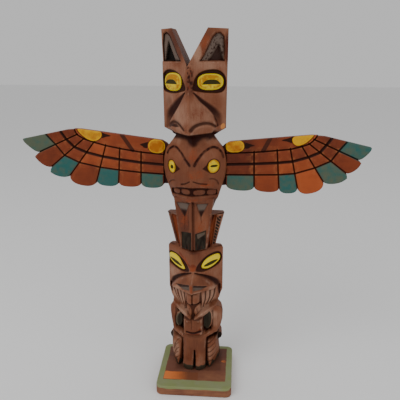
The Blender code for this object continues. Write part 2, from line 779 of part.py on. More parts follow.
def groove_body(grooves):
    """Flat foot, leg slit, block face, and ridges carved down the side limbs."""
    box("foot_saw", (-60, -60, -20), (60, 60, BODY_FOOT), grooves)
    slit = [
        (BODY_X - 1.3, BODY_FOOT - 3),
        (BODY_X + 1.6, BODY_FOOT - 3),
        (BODY_X + 0.6, 26.4),
        (BODY_X - 0.1, 26.4),
    ]
    slab("leg_slit", slit, 3.2, 14, facing(), grooves)
    line = [at_pole(0.2, -8.5, 61.0), at_pole(0.2, -8.5, 50.4)]
    gouge("block_line", line, 0.6, grooves)
    mouth = [at_pole(-5.4, -8.6, 47.9), at_pole(7.2, -8.6, 47.9)]
    gouge("block_mouth", mouth, 1.0, grooves)
    for i in range(4):
        z = 32.4 - 5.4 * i
        ridge = [at_pole(11.6, -1.9 - 0.35 * i, z - 2.2)]
        ridge += [at_pole(21.6, 6.6 - 0.9 * i, z + 2.4)]
        gouge(f"limb_ridge_right_{i}", ridge, 1.3, grooves)
    for i in range(3):
        x, y = -13.4 - 3.2 * i, -1.0 + 2.9 * i
        ridge = [at_pole(x + 0.6, y + 0.4, 36.0), at_pole(x - 1.2, y - 0.2, 22.0)]
        ridge += [at_pole(x, y - 2.4 + 0.4 * i, BODY_FOOT - 1)]
        gouge(f"limb_ridge_left_{i}", ridge, 1.2, grooves)


# ---------------------------------------------------------------- upright
def wing_slot(name, side, hollows):
    """The housing in the upright's side that takes a wing's inner end."""
    inner, outer = sorted((side * (WING_ROOT - SEAT_GAP), side * 40))
    low = (inner, WING_FRONT - SEAT_GAP, WING_HEEL - SEAT_GAP)
    high = (outer, WING_FRONT + WING_THICK + SEAT_GAP, SHOULDER[1] + SEAT_GAP)
    box(name, low, high, hollows)


def make_pole(parts, cutters):
    """Carve the upright from its masses, hollows, details and grooves."""
    groups = {}
    for step in ("masses", "hollows", "details", "grooves"):
        groups[step] = bpy.data.collections.new(f"pole_{step}")
        cutters.children.link(groups[step])
    masses, hollows = groups["masses"], groups["hollows"]
    details, grooves = groups["details"], groups["grooves"]
    block_out_head(masses)
    block_out_face(masses)
    block_out_tail(masses)
    block_out_jaw_head(masses)
    block_out_body(masses)
    hollow_head(hollows)
    hollow_face(hollows)
    hollow_tail(hollows)
    hollow_jaw_head(hollows)
    wing_slot("wing_slot_left", -1, hollows)
    wing_slot("wing_slot_right", 1, hollows)
    detail_head(details, grooves)
    detail_face(details, grooves)
    detail_jaw_head(details, grooves)
    groove_tail(grooves)
    groove_body(grooves)
    pole = masses.objects["body_trunk"]
    masses.objects.unlink(pole)
    pole.name = "pole"
    parts.objects.link(pole)
    apply_groups(
        pole,
        (
            ("UNION", masses),
            ("DIFFERENCE", hollows),
            ("UNION", details),
            ("DIFFERENCE", grooves),
        ),
    )
    paint(pole, "stained_wood", (0.17, 0.06, 0.035), 0.55)
    return pole


# ---------------------------------------------------------------- wings
def fan_point(boundary, share):
    """A point on a boundary line, as a share of its length from its spring."""
    turn = math.radians(boundary.lean)
    reach = boundary.length * share
    return (
        boundary.x + reach * math.sin(turn),
        boundary.z - reach * math.cos(turn),
    )


def covert_share(index, row):
    """How far down boundary `index` the given covert line crosses it."""
    return (0.34 - 0.011 * index, 0.665 - 0.017 * index)[row]


def tip_rise(tip, s):
    """How far a feather's end stands out at a share of the chord between its notches.

    A rounded end is a squared-off arc. A pointed one swells towards its outer corner
    and drops back to the notch there.
    """
    if not tip.corner:
        return tip.bulge * (1 - abs(2 * s - 1) ** 2.6) ** (1 / 1.8)
    swell = (1 - (1 - s) ** 2.2) ** 0.7 * (1 - (1 - tip.corner) * s**4)
    return tip.bulge * swell * min(1.0, (1 - s) / 0.04) ** 0.5


def feather_tip(start, end, tip, count=8):
    """A feather's end between two notches, point by point."""
    run = Vector(end) - Vector(start)
    out = Vector((run.y, -run.x)).normalized()
    points = []
    for i in range(1, count):
        s = 0.5 - 0.5 * math.cos(math.pi * i / count)
        rise = tip_rise(tip, s)
        points.append(tuple(Vector(start) + run * s + out * rise))
    return points


def wing_outline(fan, tips):
    """The wing's edge: down its inner end, round seven feather tips, back on top."""
    ends = [fan_point(boundary, 1.0) for boundary in fan]
    outline = [(WING_ROOT, 210.5), (WING_ROOT, WING_HEEL), (ends[0][0] - 2.5, WING_HEEL)]
    for start, end, tip in zip(ends, ends[1:], tips):
        if start is not ends[0]:
            outline.append(start)
        outline += feather_tip(start, end, tip)
    outline.append(ends[-1])
    wrist = (fan[-1].x, fan[-1].z)
    outline += [(wrist[0] + 7.0, wrist[1] - 0.6), wrist, (wrist[0] - 5.0, wrist[1])]
    outline += [SHOULDER, (SHOULDER[0] - 5.5, 215.6), (SHOULDER[0] - 9.6, 213.2)]
    return outline


def make_wing(name, fan, tips, side, parts, cutters):
    """One feathered board with its carved lines."""
    stand = Matrix.Rotation(math.pi / 2, 4, "X")
    place = Matrix.Translation(mm(POLE_X, WING_FRONT + WING_THICK, 0)) @ stand
    outline = [(side * x, z) for x, z in wing_outline(fan, tips)]
    wing = slab(name, outline, 0, WING_THICK, place, parts)
    group = bpy.data.collections.new(f"{name}_grooves")
    cutters.children.link(group)

    def on_board(point, deep=0.0):
        """A point of the outline, on the board's front face."""
        return at_pole(side * point[0], WING_FRONT + deep, point[1])

    for i, boundary in enumerate(fan[1:-1], start=1):
        path = [fan_point(boundary, share) for share in (-0.02, 1.06)]
        gouge(f"{name}_line_{i}", [on_board(p) for p in path], GROOVE_R, group)
    edge = [(fan[0].x - 1.2, fan[0].z + 0.3)]
    edge += [(boundary.x, boundary.z) for boundary in fan[1:]]
    edge += [(fan[-1].x - 0.4, fan[-1].z + 2.0)]
    gouge(f"{name}_band", [on_board(p) for p in edge], GROOVE_R, group)
    for row in (0, 1):
        path = [fan_point(fan[0], covert_share(0, row))]
        path[0] = (path[0][0] - 1.2, path[0][1])
        path += [fan_point(b, covert_share(i, row)) for i, b in enumerate(fan)][1:]
        last = fan_point(fan[-1], covert_share(7, row))
        path += [(last[0] + 0.6, last[1] + 2.0)]
        gouge(f"{name}_covert_{row}", [on_board(p) for p in path], GROOVE_R, group)
    seam = [(fan[0].x - 1.2, 216.0), (fan[0].x - 1.2, WING_HEEL - 2)]
    gouge(f"{name}_seam", [on_board(p) for p in seam], GROOVE_R, group)
    cut_all(wing, group)
    paint(wing, f"{name}_wood", (0.28, 0.075, 0.03), 0.5)
    return wing


# ---------------------------------------------------------------- base
def make_base(parts):
    """The square block: an outline with round corners and softened edges."""
    half, corner = BASE_SIDE / 2, BASE_CORNER
    outline = []
    for quarter in range(4):
        turn = math.pi / 2 * quarter
        for i in range(5):
            a = math.pi / 8 * i
            x = half - corner + corner * math.cos(a)
            y = half - corner + corner * math.sin(a)
            outline.append(
                (
                    x * math.cos(turn) - y * math.sin(turn),
                    x * math.sin(turn) + y * math.cos(turn),
                )
            )
    turn = Matrix.Rotation(math.radians(BASE_TURN), 4, "Z")
    base = slab("base", outline, 0, BASE_THICK, turn, parts)
    soften = base.modifiers.new("worn_edges", "BEVEL")
    soften.width = BASE_EDGE * MM
    soften.segments = 2
    soften.limit_method = "ANGLE"
    soften.angle_limit = math.radians(50)
    paint(base, "base_wood", (0.2, 0.09, 0.05), 0.55)
    return base


def main():
    """Build the four pieces."""
    clear_scene()
    parts = new_collection("totem_pole")
    cutters = new_collection("cutters")
    make_pole(parts, cutters)
    make_wing("wing_left", LEFT_FAN, LEFT_TIPS, -1, parts, cutters)
    make_wing("wing_right", RIGHT_FAN, RIGHT_TIPS, 1, parts, cutters)
    make_base(parts)
    for item in cutters.all_objects:
        item.hide_render = True
        item.display_type = "WIRE"


main()
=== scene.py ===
"""Looks of a carved totem pole: one upright, two feathered boards and a base block.

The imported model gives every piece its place. The upright is one skin wrapped round
the wood: its front is a depth worked out over width and height the way a carver
works, first the rough masses, then hollows, proud details and fine grooves. Each
board is a fan of feathers carried between straight carved lines, and the base is a
softened outline carried round a profile.

Inside the classes, sizes are millimetres measured from the upright's own axis and
from the underside of the base. Depth y grows towards the back.
"""

import itertools  # noqa: E402
import logging  # noqa: E402
import math  # noqa: E402
from collections.abc import Sequence  # noqa: E402
from dataclasses import dataclass, replace  # noqa: E402
from enum import Enum  # noqa: E402

import bpy  # noqa: E402
import numpy as np  # noqa: E402
from mathutils import Matrix, Vector  # noqa: E402

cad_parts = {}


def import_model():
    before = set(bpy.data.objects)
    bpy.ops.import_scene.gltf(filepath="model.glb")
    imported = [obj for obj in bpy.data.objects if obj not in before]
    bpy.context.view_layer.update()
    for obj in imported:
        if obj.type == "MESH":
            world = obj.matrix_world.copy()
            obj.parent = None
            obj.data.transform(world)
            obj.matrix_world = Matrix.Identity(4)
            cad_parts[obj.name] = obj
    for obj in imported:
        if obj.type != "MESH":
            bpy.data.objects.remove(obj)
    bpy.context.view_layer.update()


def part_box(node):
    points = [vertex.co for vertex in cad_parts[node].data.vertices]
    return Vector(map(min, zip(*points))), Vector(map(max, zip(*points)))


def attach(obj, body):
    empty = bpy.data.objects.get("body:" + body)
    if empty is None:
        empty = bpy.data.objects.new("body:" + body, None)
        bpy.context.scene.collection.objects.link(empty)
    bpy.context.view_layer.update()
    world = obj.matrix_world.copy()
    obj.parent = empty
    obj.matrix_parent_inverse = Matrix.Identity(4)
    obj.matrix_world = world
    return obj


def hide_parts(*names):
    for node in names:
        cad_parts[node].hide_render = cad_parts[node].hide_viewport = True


MM = 0.001
FAR = 4.0  # distances to an outline are not followed further out than this
STEP = 0.01  # two heights this far apart stand for a step in an outline
Grid = np.ndarray
Point = tuple[float, float]
Colour = tuple[float, float, float]
Row = tuple[float, ...]
Line = Sequence[Point]
Rows = Sequence[Row]

logging.basicConfig(level=logging.INFO, format="%(message)s")
log = logging.getLogger("totem")


# ---------------------------------------------------------------- plane geometry
def ease(value: Grid) -> Grid:
    """Smooth step: 3v^2 - 2v^3 with v held between 0 and 1."""
    held = np.clip(value, 0.0, 1.0)
    return held * held * (3.0 - 2.0 * held)


def near(distance: Grid, reach: float) -> Grid:
    """1 on a line, easing to 0 at `reach` from it."""
    return ease(1.0 - np.abs(distance) / reach)


def quarter_round(depth: Grid, radius: float) -> Grid:
    """How far a quarter round falls back, where `depth` is how far it has turned."""
    held = np.clip(depth, 0.0, radius)
    return radius - np.sqrt(np.maximum(radius * radius - held * held, 0.0))


def soft_min(first: Grid, second: Grid, blend: float) -> Grid:
    """The lesser of two depths, filleted where they are within `blend` of each other."""
    share = np.clip(0.5 + 0.5 * (second - first) / blend, 0.0, 1.0)
    return second + (first - second) * share - blend * share * (1.0 - share)


def bend(points: Line, closed: bool = False, steps: int = 5) -> Grid:
    """A smooth line: each span is a Catmull-Rom cubic, parallel to its neighbours' chord.

    Args:
        points: the points that the line passes through.
        closed: whether the line returns to its start.
        steps: how many straight pieces stand for each span.

    Returns:
        The line's points, one a row.
    """
    knots = np.asarray(points, float)
    if closed:
        knots = np.vstack((knots[-1], knots, knots[0], knots[1]))
    else:
        knots = np.vstack((2 * knots[0] - knots[1], knots, 2 * knots[-1] - knots[-2]))
    t = np.linspace(0.0, 1.0, steps, endpoint=False)[:, None]
    spans = []
    for a, b, c, d in zip(knots, knots[1:], knots[2:], knots[3:]):
        cubic = 2 * b + (c - a) * t + (2 * a - 5 * b + 4 * c - d) * t**2
        spans.append(0.5 * (cubic + (3 * b - a - 3 * c + d) * t**3))
    line = np.vstack(spans)
    return line if closed else np.vstack((line, knots[-2]))


def stations(z: Grid, rows: Rows) -> list[Grid]:
    """What rows of (height, value, ...) say at the heights z, one grid a value."""
    heights, *columns = zip(*rows)
    return [np.interp(z, heights, column) for column in columns]


def to_segment(x: Grid, z: Grid, start: Grid, end: Grid) -> tuple[Grid, Grid]:
    """Squared distance from each point to a straight side, and the share along it.

    Args:
        x: width of each point.
        z: height of each point.
        start: one end of the side.
        end: its other end.

    Returns:
        The squared distances, and the share of the side at its nearest point.
    """
    run, rise = end[0] - start[0], end[1] - start[1]
    share = ((x - start[0]) * run + (z - start[1]) * rise) / (run * run + rise * rise)
    share = np.clip(share, 0.0, 1.0)
    return (x - start[0] - share * run) ** 2 + (z - start[1] - share * rise) ** 2, share


def outline_distance(x: Grid, z: Grid, corners: Grid) -> Grid:
    """Signed distance to a closed outline: negative inside, and FAR well outside.

    The distance is that to the nearest side, and its sign is the parity of the sides
    that a level line from the point crosses.

    Args:
        x: width of each point.
        z: height of each point.
        corners: the outline's corners, one a row.

    Returns:
        The distances.
    """
    corners = np.asarray(corners, float)
    low, high = corners.min(0) - FAR, corners.max(0) + FAR
    window = (x > low[0]) & (x < high[0]) & (z > low[1]) & (z < high[1])
    px, pz = x[window], z[window]
    nearest = np.full(px.shape, FAR**2)
    inside = np.zeros(px.shape, bool)
    for start, end in zip(corners, np.roll(corners, -1, axis=0)):
        nearest = np.minimum(nearest, to_segment(px, pz, start, end)[0])
        if end[1] != start[1]:
            crossed = start[0] + (pz - start[1]) * (end[0] - start[0]) / (end[1] - start[1])
            inside ^= ((start[1] > pz) != (end[1] > pz)) & (px < crossed)
    result = np.full(x.shape, FAR)
    result[window] = np.where(inside, -1.0, 1.0) * np.sqrt(nearest)
    return result


def path_distance(x: Grid, z: Grid, path: Grid) -> tuple[Grid, Grid]:
    """Distance to an open line.

    Args:
        x: width of each point.
        z: height of each point.
        path: the line's points, one a row.

    Returns:
        The distances, and the share of the line's length at the nearest point.
    """
    path = np.asarray(path, float)
    lengths = np.hypot(*np.diff(path, axis=0).T)
    starts = np.concatenate(([0.0], np.cumsum(lengths)))
    best = np.full(x.shape, (2 * FAR) ** 2)
    along = np.zeros(x.shape)
    for start, end, before, length in zip(path, path[1:], starts, lengths):
        gap, share = to_segment(x, z, start, end)
        closer = gap < best
        best = np.where(closer, gap, best)
        along = np.where(closer, (before + share * length) / starts[-1], along)
    return np.sqrt(best), along


@dataclass(frozen=True)
class Oval:
    """A round or squarish closed shape: centre, half sizes, tilt in degrees, power."""

    x: float
    z: float
    half_x: float
    half_z: float
    tilt: float = 0.0
    power: float = 2.0

    def radius(self, x: Grid, z: Grid) -> Grid:
        """0 at the centre and 1 on the edge: (|u/a|^p + |v/b|^p)^(1/p).

        Args:
            x: width of each point.
            z: height of each point.

        Returns:
            The share of the way out to the edge.
        """
        turn = math.radians(self.tilt)
        u = (x - self.x) * math.cos(turn) + (z - self.z) * math.sin(turn)
        v = (z - self.z) * math.cos(turn) - (x - self.x) * math.sin(turn)
        total = np.abs(u / self.half_x) ** self.power + np.abs(v / self.half_z) ** self.power
        return total ** (1.0 / self.power)

    def distance(self, x: Grid, z: Grid) -> Grid:
        """Signed distance to the edge, measured along the line from the centre."""
        reach = np.hypot(x - self.x, z - self.z)
        return reach - reach / np.maximum(self.radius(x, z), 0.05)


def mottle(x: Grid, z: Grid, cell_x: float, cell_z: float, seed: int) -> Grid:
    """Smooth random relief from -1 to 1.

    Seeded values stand on a lattice of the given cell, and a point takes the eased
    mean of its cell's four corners.

    Args:
        x: width of each point.
        z: height of each point.
        cell_x: width of the lattice's cell.
        cell_z: height of the lattice's cell.
        seed: what the values are drawn from.

    Returns:
        The relief.
    """
    lattice = np.random.default_rng(seed).uniform(-1.0, 1.0, (61, 67))
    across, up = x / cell_x + 500.3, z / cell_z + 500.7
    column, row = np.floor(across).astype(int), np.floor(up).astype(int)
    fx, fz = ease(across - column), ease(up - row)

    def corner(right: int, above: int) -> Grid:
        """The lattice's value at one corner of each point's cell."""
        return lattice[(column + right) % 61, (row + above) % 67]

    low = corner(0, 0) * (1 - fx) + corner(1, 0) * fx
    high = corner(0, 1) * (1 - fx) + corner(1, 1) * fx
    return low * (1 - fz) + high * fz


def blur(values: Grid, spread: float) -> Grid:
    """Gaussian mean over neighbours, with the edges repeated.

    Args:
        values: the grid.
        spread: the mean's spread in grid steps.

    Returns:
        The smoothed grid.
    """
    reach = int(math.ceil(2.5 * spread))
    weights = np.exp(-0.5 * (np.arange(-reach, reach + 1) / spread) ** 2)
    weights /= weights.sum()
    padded = np.pad(values, reach, mode="edge")
    rows, columns = values.shape
    down = sum(w * padded[i : i + rows, :] for i, w in enumerate(weights))
    return sum(w * down[:, i : i + columns] for i, w in enumerate(weights))


# ---------------------------------------------------------------- carving
class Paint(Enum):
    """The paints that the carving records, by attribute name."""

    YELLOW = "yellow"
    BLACK = "black"
    GREY = "grey"
    RED = "red"
    GREEN = "green"
    CHIP = "chip"


class Carving:
    """A front surface as it is carved: its depth and its paint over width and height."""

    STEEP = 13.0  # how far a wall falls back for each millimetre outside its outline

    def __init__(self, x: Grid, z: Grid, back: Grid) -> None:
        """Start from the back face.

        Args:
            x: width of each grid point.
            z: height of each grid point.
            back: depth of the back face there.
        """
        self.x, self.z = x, z
        self.depth = back.copy()
        self.paint = {paint: np.full(x.shape, FAR) for paint in Paint}
        self.stained, self.tone, self.faded = (np.zeros(x.shape) for _ in range(3))
        self.bright = np.zeros(x.shape)  # 1 where a hollow gathers no stain

    def curve(self, points: Line) -> Grid:
        """Signed distance to the smooth closed curve through the points."""
        return outline_distance(self.x, self.z, bend(points, closed=True))

    def shape(self, corners: Line) -> Grid:
        """Signed distance to a straight-sided outline."""
        return outline_distance(self.x, self.z, corners)

    def oval(self, oval: Oval) -> Grid:
        """Signed distance to an oval."""
        return oval.distance(self.x, self.z)

    def path(self, points: Line) -> tuple[Grid, Grid]:
        """Distance to the smooth open line through the points, and the share along."""
        return path_distance(self.x, self.z, bend(points))

    def noise(self, cell_x: float, cell_z: float, seed: int) -> Grid:
        """Smooth random relief over the surface."""
        return mottle(self.x, self.z, cell_x, cell_z, seed)

    def spot(self, x: float, z: float, half_x: float, half_z: float) -> Grid:
        """1 at a place, easing to 0 at a half-width and a half-height from it."""
        return near(self.x - x, half_x) * near(self.z - z, half_z)

    def add(self, front: Grid | float, outline: Grid, edge: float = 0.8, blend: float = 0.6) -> None:
        """Stand a mass in front of what is there.

        Over its outline a mass falls back by a quarter round and then a steep wall,
        and of all masses the one nearest to the front is seen.

        Args:
            front: the mass's own depth.
            outline: signed distance to its outline.
            edge: radius of the round along the outline.
            blend: size of the fillet where it meets the rest.
        """
        wall = self.STEEP * np.maximum(outline, 0.0)
        self.depth = soft_min(self.depth, front + quarter_round(outline + edge, edge) + wall, blend)

    def lower(self, amount: Grid) -> None:
        """Cut the surface back by an amount, or with a minus let it stand out."""
        self.depth = self.depth + amount

    def sink(self, distance: Grid, depth: float, wall: float = 0.9) -> None:
        """Lower the inside of an outline, over a sloping wall."""
        self.lower(depth * ease(0.5 - distance / wall))

    def swell(self, distance: Grid, height: float, run: float) -> None:
        """Raise the inside of an outline as a dome that levels off `run` inside."""
        rise = np.clip(-distance / run, 0.0, 1.0)
        self.lower(-height * np.sqrt(1.0 - (1.0 - rise) ** 2))

    def groove(
        self, points: Line, width: float | Point, depth: float,
        stain: float | Grid = 1.0, straight: bool = False,
    ) -> Grid:
        """Cut a tapering V groove along a line and let dark stain settle in it.

        Args:
            points: the line's points.
            width: half-width of the groove, or its values at the start and the end.
            depth: depth at its middle.
            stain: how dark the stain is in it, 0 to 1.
            straight: whether the line keeps its corners.

        Returns:
            The signed distance to the groove's own edge.
        """
        distance, along = path_distance(self.x, self.z, points if straight else bend(points))
        start, end = width if isinstance(width, tuple) else (width, width)
        half = start + (end - start) * along
        self.lower(depth * ease(1.0 - distance / half))
        self.stain(stain * ease(1.3 - distance / half))
        return distance - half

    def valley(self, outer: Line, inner: Line, dark: float = 1.0) -> None:
        """Cut a soft valley between two lines, deepest and darkest at the inner one, the dark being stain
        with painted shade that lessens further down.

        Args:
            outer: the line where the wood starts to fall.
            inner: the line that it falls to, run the same way.
            dark: how dark the stain and painted shade are there, 0 to 1.
        """
        far, close = self.path(outer)[0], self.path(inner)[0]
        ring = np.vstack((bend(outer), bend(inner)[::-1]))
        inside = ease(0.5 - self.shape(ring) / 0.8)
        share = far / np.maximum(far + close, 0.01)
        self.lower(2.1 * share**1.3 * inside)
        high = float(np.max(outer, axis=0)[1])
        fall = 1.0 - 0.5 * ease((high - 12.0 - self.z) / 14.0)
        self.stain(dark * fall * ease(0.3 + 1.2 * share) * inside)

    def tint(self, patch: Oval, amount: float) -> None:
        """Turn the wood paler, or with a minus darker and redder, towards a patch's middle."""
        self.tone = self.tone + amount * ease(1.5 - 1.1 * patch.radius(self.x, self.z))

    def flush(self, patch: Oval) -> None:
        """Let red stain show thinly over a patch.

        Args:
            patch: where it shows, fading outwards.
        """
        share = ease(1.5 - 1.1 * patch.radius(self.x, self.z))
        self.coat(Paint.RED, 0.15 - 0.155 * share)
        self.fade(0.8 * share)

    def stain(self, amount: Grid) -> None:
        """Darken with stain and painted shade: the darkest of what is there and this amount."""
        self.stained = np.maximum(self.stained, np.clip(amount, 0.0, 1.0))

    def fade(self, amount: Grid) -> None:
        """Let paint vary at least this much."""
        self.faded = np.maximum(self.faded, amount)

    def fade_in(self, inside: Grid, amount: Grid) -> None:
        """Let paint vary just this much where `inside` holds."""
        self.faded = np.where(inside, amount, self.faded)

    def wipe(self, amount: Grid) -> None:
        """Take this share of the stain off again."""
        self.stained = self.stained * (1.0 - amount)

    def spare(self, amount: Grid) -> None:
        """Keep the stain of hollows off by at least this much."""
        self.bright = np.maximum(self.bright, amount)

    def coat(self, paint: Paint, distance: Grid) -> None:
        """Lay paint inside an outline."""
        self.paint[paint] = np.minimum(self.paint[paint], distance)

    def keep_off(self, paint: Paint, distance: Grid) -> None:
        """Leave paint off the inside of an outline."""
        self.paint[paint] = np.maximum(self.paint[paint], -distance)


def vee(x: Grid, ridge: Sequence, half: Grid, side_y: Grid | float) -> Grid:
    """A V front with a blunt ridge, as deep as `side_y` at both corners.

    Either side is m * (sqrt(d^2 + b^2) - b), with d the distance from the ridge, b
    the bluntness and m set so that the corner comes out at side_y.

    Args:
        x: width of each point.
        ridge: the ridge's x and depth, numbers or grids.
        half: half-width of the block at each point.
        side_y: depth at its corners.

    Returns:
        The depth of each point.
    """
    blunt = 1.6
    offset = x - ridge[0]
    run = half - np.sign(offset) * ridge[0]
    slope = (side_y - ridge[1]) / (np.sqrt(run**2 + blunt**2) - blunt)
    return ridge[1] + slope * (np.sqrt(offset**2 + blunt**2) - blunt)


def hewn(x: Grid, z: Grid, points: Rows, wear: float = 0.4) -> tuple[Grid, Grid]:
    """A convex hewn block seen from the front.

    A plane through three of its points belongs to the front when all other points
    lie behind it. The front is the deepest of these planes at each place, rounded
    where two meet: wear * log(sum(exp(plane / wear))).

    Args:
        x: widths of the grid.
        z: heights of the grid.
        points: the block's corners as (x, y, z).
        wear: how much the edges between facets are rounded.

    Returns:
        The block's depth, and the signed distance to its outline.
    """
    block = np.asarray(points, float)
    px, py, pz = block.T
    rows = np.column_stack((px, pz, np.ones(len(px))))
    planes: list[Grid] = []
    for trio in itertools.combinations(range(len(px)), 3):
        chosen = rows[list(trio)]
        if abs(np.linalg.det(chosen)) < 0.5:
            continue
        plane = np.linalg.solve(chosen, py[list(trio)])
        known = any(np.allclose(plane, other, atol=1e-6) for other in planes)
        if not known and np.all(rows @ plane <= py + 1e-6):
            planes.append(plane)
    sheets = np.array([a * x + b * z + c for a, b, c in planes])
    deepest = sheets.max(axis=0)
    rounding = np.log(np.exp((sheets - deepest) / wear).sum(axis=0))
    outline = np.full(x.shape, -np.inf)
    flat = block[:, [0, 2]]
    for start, end in itertools.permutations(flat, 2):
        run, rise = end - start
        length = math.hypot(run, rise)
        if length < 1e-6:
            continue
        out = np.array((rise, -run)) / length
        if np.all((flat - start) @ out <= 1e-6):
            side = (x - start[0]) * out[0] + (z - start[1]) * out[1]
            outline = np.maximum(outline, side)
    return deepest + wear * rounding, outline


def mirrored(side: int, points: Rows) -> list[Row]:
    """Points given for the right side, turned over for side -1."""
    return [(side * point[0], *point[1:]) for point in points]


class Figure:
    """One carved figure: its own class has its sizes, its masses and its cuts."""

    wood: Carving
    tints: Rows = ()  # x, z, half sizes, amount, tilt
    flushes: Rows = ()  # x, z, half sizes, tilt

    def half_width(self, z: Grid, side: int) -> Grid:
        """How far the figure reaches to one side; each figure has its own outline.

        Args:
            z: the heights.
            side: -1 for the left and 1 for the right.

        Returns:
            The reach at each height, and 0 above and below the figure.
        """
        raise NotImplementedError

    def reach(self) -> Grid:
        """How far the figure reaches out on the side that each point lies on."""
        x, z = self.wood.x, self.wood.z
        return np.where(x < 0, self.half_width(z, -1), self.half_width(z, 1))

    def colour(self) -> None:
        """Tint the wood and let the red stain flush."""
        for x, z, half_x, half_z, amount, *tilt in self.tints:
            self.wood.tint(Oval(x, z, half_x, half_z, *tilt), amount)
        for patch in self.flushes:
            self.wood.flush(Oval(*patch))


# ---------------------------------------------------------------- bird's head
@dataclass
class BirdHead(Figure):
    """The top figure: a V-fronted block with split ears, round eyes and a beak."""

    top: float
    foot: float = 220.5
    shoulder: float = 226.5
    halves: Point = (27.6, 26.2)  # to the left and to the right of the axis
    ear_halves: tuple[Point, Point] = ((27.0, 26.3), (28.1, 26.6))  # at the ledge and top
    foot_half: float = 15.0
    ridge: Point = (-2.0, -6.0)
    side_y: float = 17.0
    ledge: float = 280.0
    notch: Row = (-3.0, 275.6, 14.7)  # x, apex, half-width
    beak: Rows = (
        (-2.0, -7.4, 257.6), (-1.2, -14.2, 229.5), (-1.0, -13.6, 222.8), (-20.8, 8.0, 232.0),
        (-20.8, 8.6, 227.6), (-15.5, 5.0, 223.4), (18.6, 7.6, 232.0), (18.6, 8.2, 227.2),
        (14.0, 4.6, 223.0), (-15.0, 16.0, 224.0), (13.5, 16.0, 224.0), (-2.0, 4.0, 257.0),
    )
    tongues: tuple[Line, Line] = (
        ((-8.9, 279.9), (-12.5, 286.0), (-15.9, 293.0), (-19.4, 299.8), (-22.8, 302.6), (-25.8, 301.2),
         (-26.9, 293.0), (-26.3, 279.9)),
        ((5.4, 279.9), (8.4, 285.0), (11.2, 291.4), (14.4, 298.6), (17.2, 301.6), (20.4, 302.2),
         (23.4, 299.2), (23.9, 292.0), (23.9, 279.9)),
    )
    pits: tuple[Line, Line] = (
        ((-21.4, 295.6), (-14.9, 280.6), (-25.0, 280.6)), ((19.0, 293.6), (11.4, 280.6), (22.8, 280.6)),
    )
    ear_rim: Line = ((24.1, 281.0), (27.5, 281.0), (27.5, 296.5), (24.2, 297.0))
    sockets: tuple[Line, Line] = (
        ((-27.4, 268.6), (-24.0, 272.6), (-19.4, 273.6), (-13.6, 272.0), (-9.2, 268.8), (-6.6, 264.0),
         (-4.9, 258.6), (-8.4, 256.8), (-15.0, 255.3), (-22.0, 255.6), (-27.0, 258.4)),
        ((24.9, 261.0), (24.2, 268.4), (20.1, 272.7), (14.8, 273.6), (9.6, 272.8), (5.0, 270.4),
         (2.3, 266.2), (1.3, 262.0), (0.9, 258.4), (5.0, 256.9), (12.4, 255.7), (21.6, 255.9)),
    )
    eyes: tuple[Oval, Oval] = (
        Oval(-17.1, 264.0, 8.5, 7.2, 0, 2.5), Oval(13.6, 264.2, 9.5, 6.5, 0, 2.5),
    )
    socket_side: float = -26.4  # no socket is cut further out than this
    pupils: tuple[Point, Point] = ((-18.9, 6.3), (14.5, 7.0))  # x, half-width
    ochres: tuple[Point, Point] = ((0.62, 0.4), (0.42, 0.36))  # all over, and above
    pupil_foot: float = 262.2
    pupil_rise: float = 3.9
    furrows: tuple[tuple[Line, Line, float], ...] = (  # outer line, inner line, how dark
        (((-7.6, 255.4), (-14.9, 250.6), (-22.0, 244.4), (-25.0, 238.6), (-26.8, 226.6)),
         ((-4.6, 256.6), (-10.2, 247.2), (-14.6, 241.0), (-19.2, 234.4), (-22.8, 226.6)), 1.0),
        (((2.3, 256.4), (11.2, 249.6), (18.4, 244.0), (23.0, 238.4), (24.2, 230.0)),
         ((0.7, 256.4), (6.3, 248.7), (11.6, 243.4), (16.0, 237.0), (18.8, 228.4)), 0.97),
    )
    nostrils: tuple[tuple[Line, Point], ...] = (  # line, half-widths at its ends
        (((-20.3, 229.0), (-18.0, 231.4), (-14.6, 232.6), (-10.2, 231.2), (-5.6, 227.2)), (2.4, 1.1)),
        (((0.6, 227.4), (2.6, 229.9), (6.2, 231.6), (10.8, 232.1), (14.6, 231.1), (17.8, 228.8)),
         (2.2, 1.3)),
    )
    wedge: Line = ((-20.2, 228.8), (-18.0, 230.9), (-13.0, 231.4), (-10.0, 229.4), (-14.0, 228.4))
    # the pair at height 277 paint a highlight along the brow's top edge, below the ledge
    tints: Rows = (
        (-9, 238, 8, 12, 0.18), (6.5, 238, 9, 12, 0.12), (-1.9, 237, 2.4, 12, -0.04),
        (-20, 248, 6, 8, 0.17), (-12, 286, 6, 10, -0.45), (-1.5, 262, 4, 12, -0.4),
        (-17, 277, 10, 4, 0.1), (12, 277, 12, 4, 0.16), (17, 248, 8, 7, -0.14),
        (-12, 226.5, 7, 2.5, 0.1), (9, 226.5, 8, 2.5, -0.06), (13, 302, 6, 6, -0.25),
        (-16, 299, 7, 8, -0.5), (4.5, 287, 3, 8, 0.42), (25.5, 290, 1.8, 12, -0.7),
    )
    flushes: Rows = ((10, 295, 3, 7, -24),)

    def half_width(self, z: Grid, side: int) -> Grid:
        """How far the head reaches to one side at a height."""
        half, low_ear, high_ear = (pair[side > 0] for pair in (self.halves, *self.ear_halves))
        heights = (self.foot - STEP, self.foot, self.shoulder, self.ledge - STEP, self.ledge, self.top)
        return np.interp(z, heights, (0, self.foot_half, half - 0.6, half, low_ear, high_ear))

    def rough_out(self) -> None:
        """The block and the beak that stands out of it."""
        x, z = self.wood.x, self.wood.z
        ends = (self.foot, self.shoulder)
        ridge = [np.interp(z, ends, run) for run in ((0.0, self.ridge[0]), (1.5, self.ridge[1]))]
        front = vee(x, ridge, np.maximum(self.reach(), self.foot_half), self.side_y)
        self.wood.add(front, self.foot - z, 0.5)
        self.wood.add(*hewn(x, z, self.beak, 0.5), edge=1.6, blend=0.5)

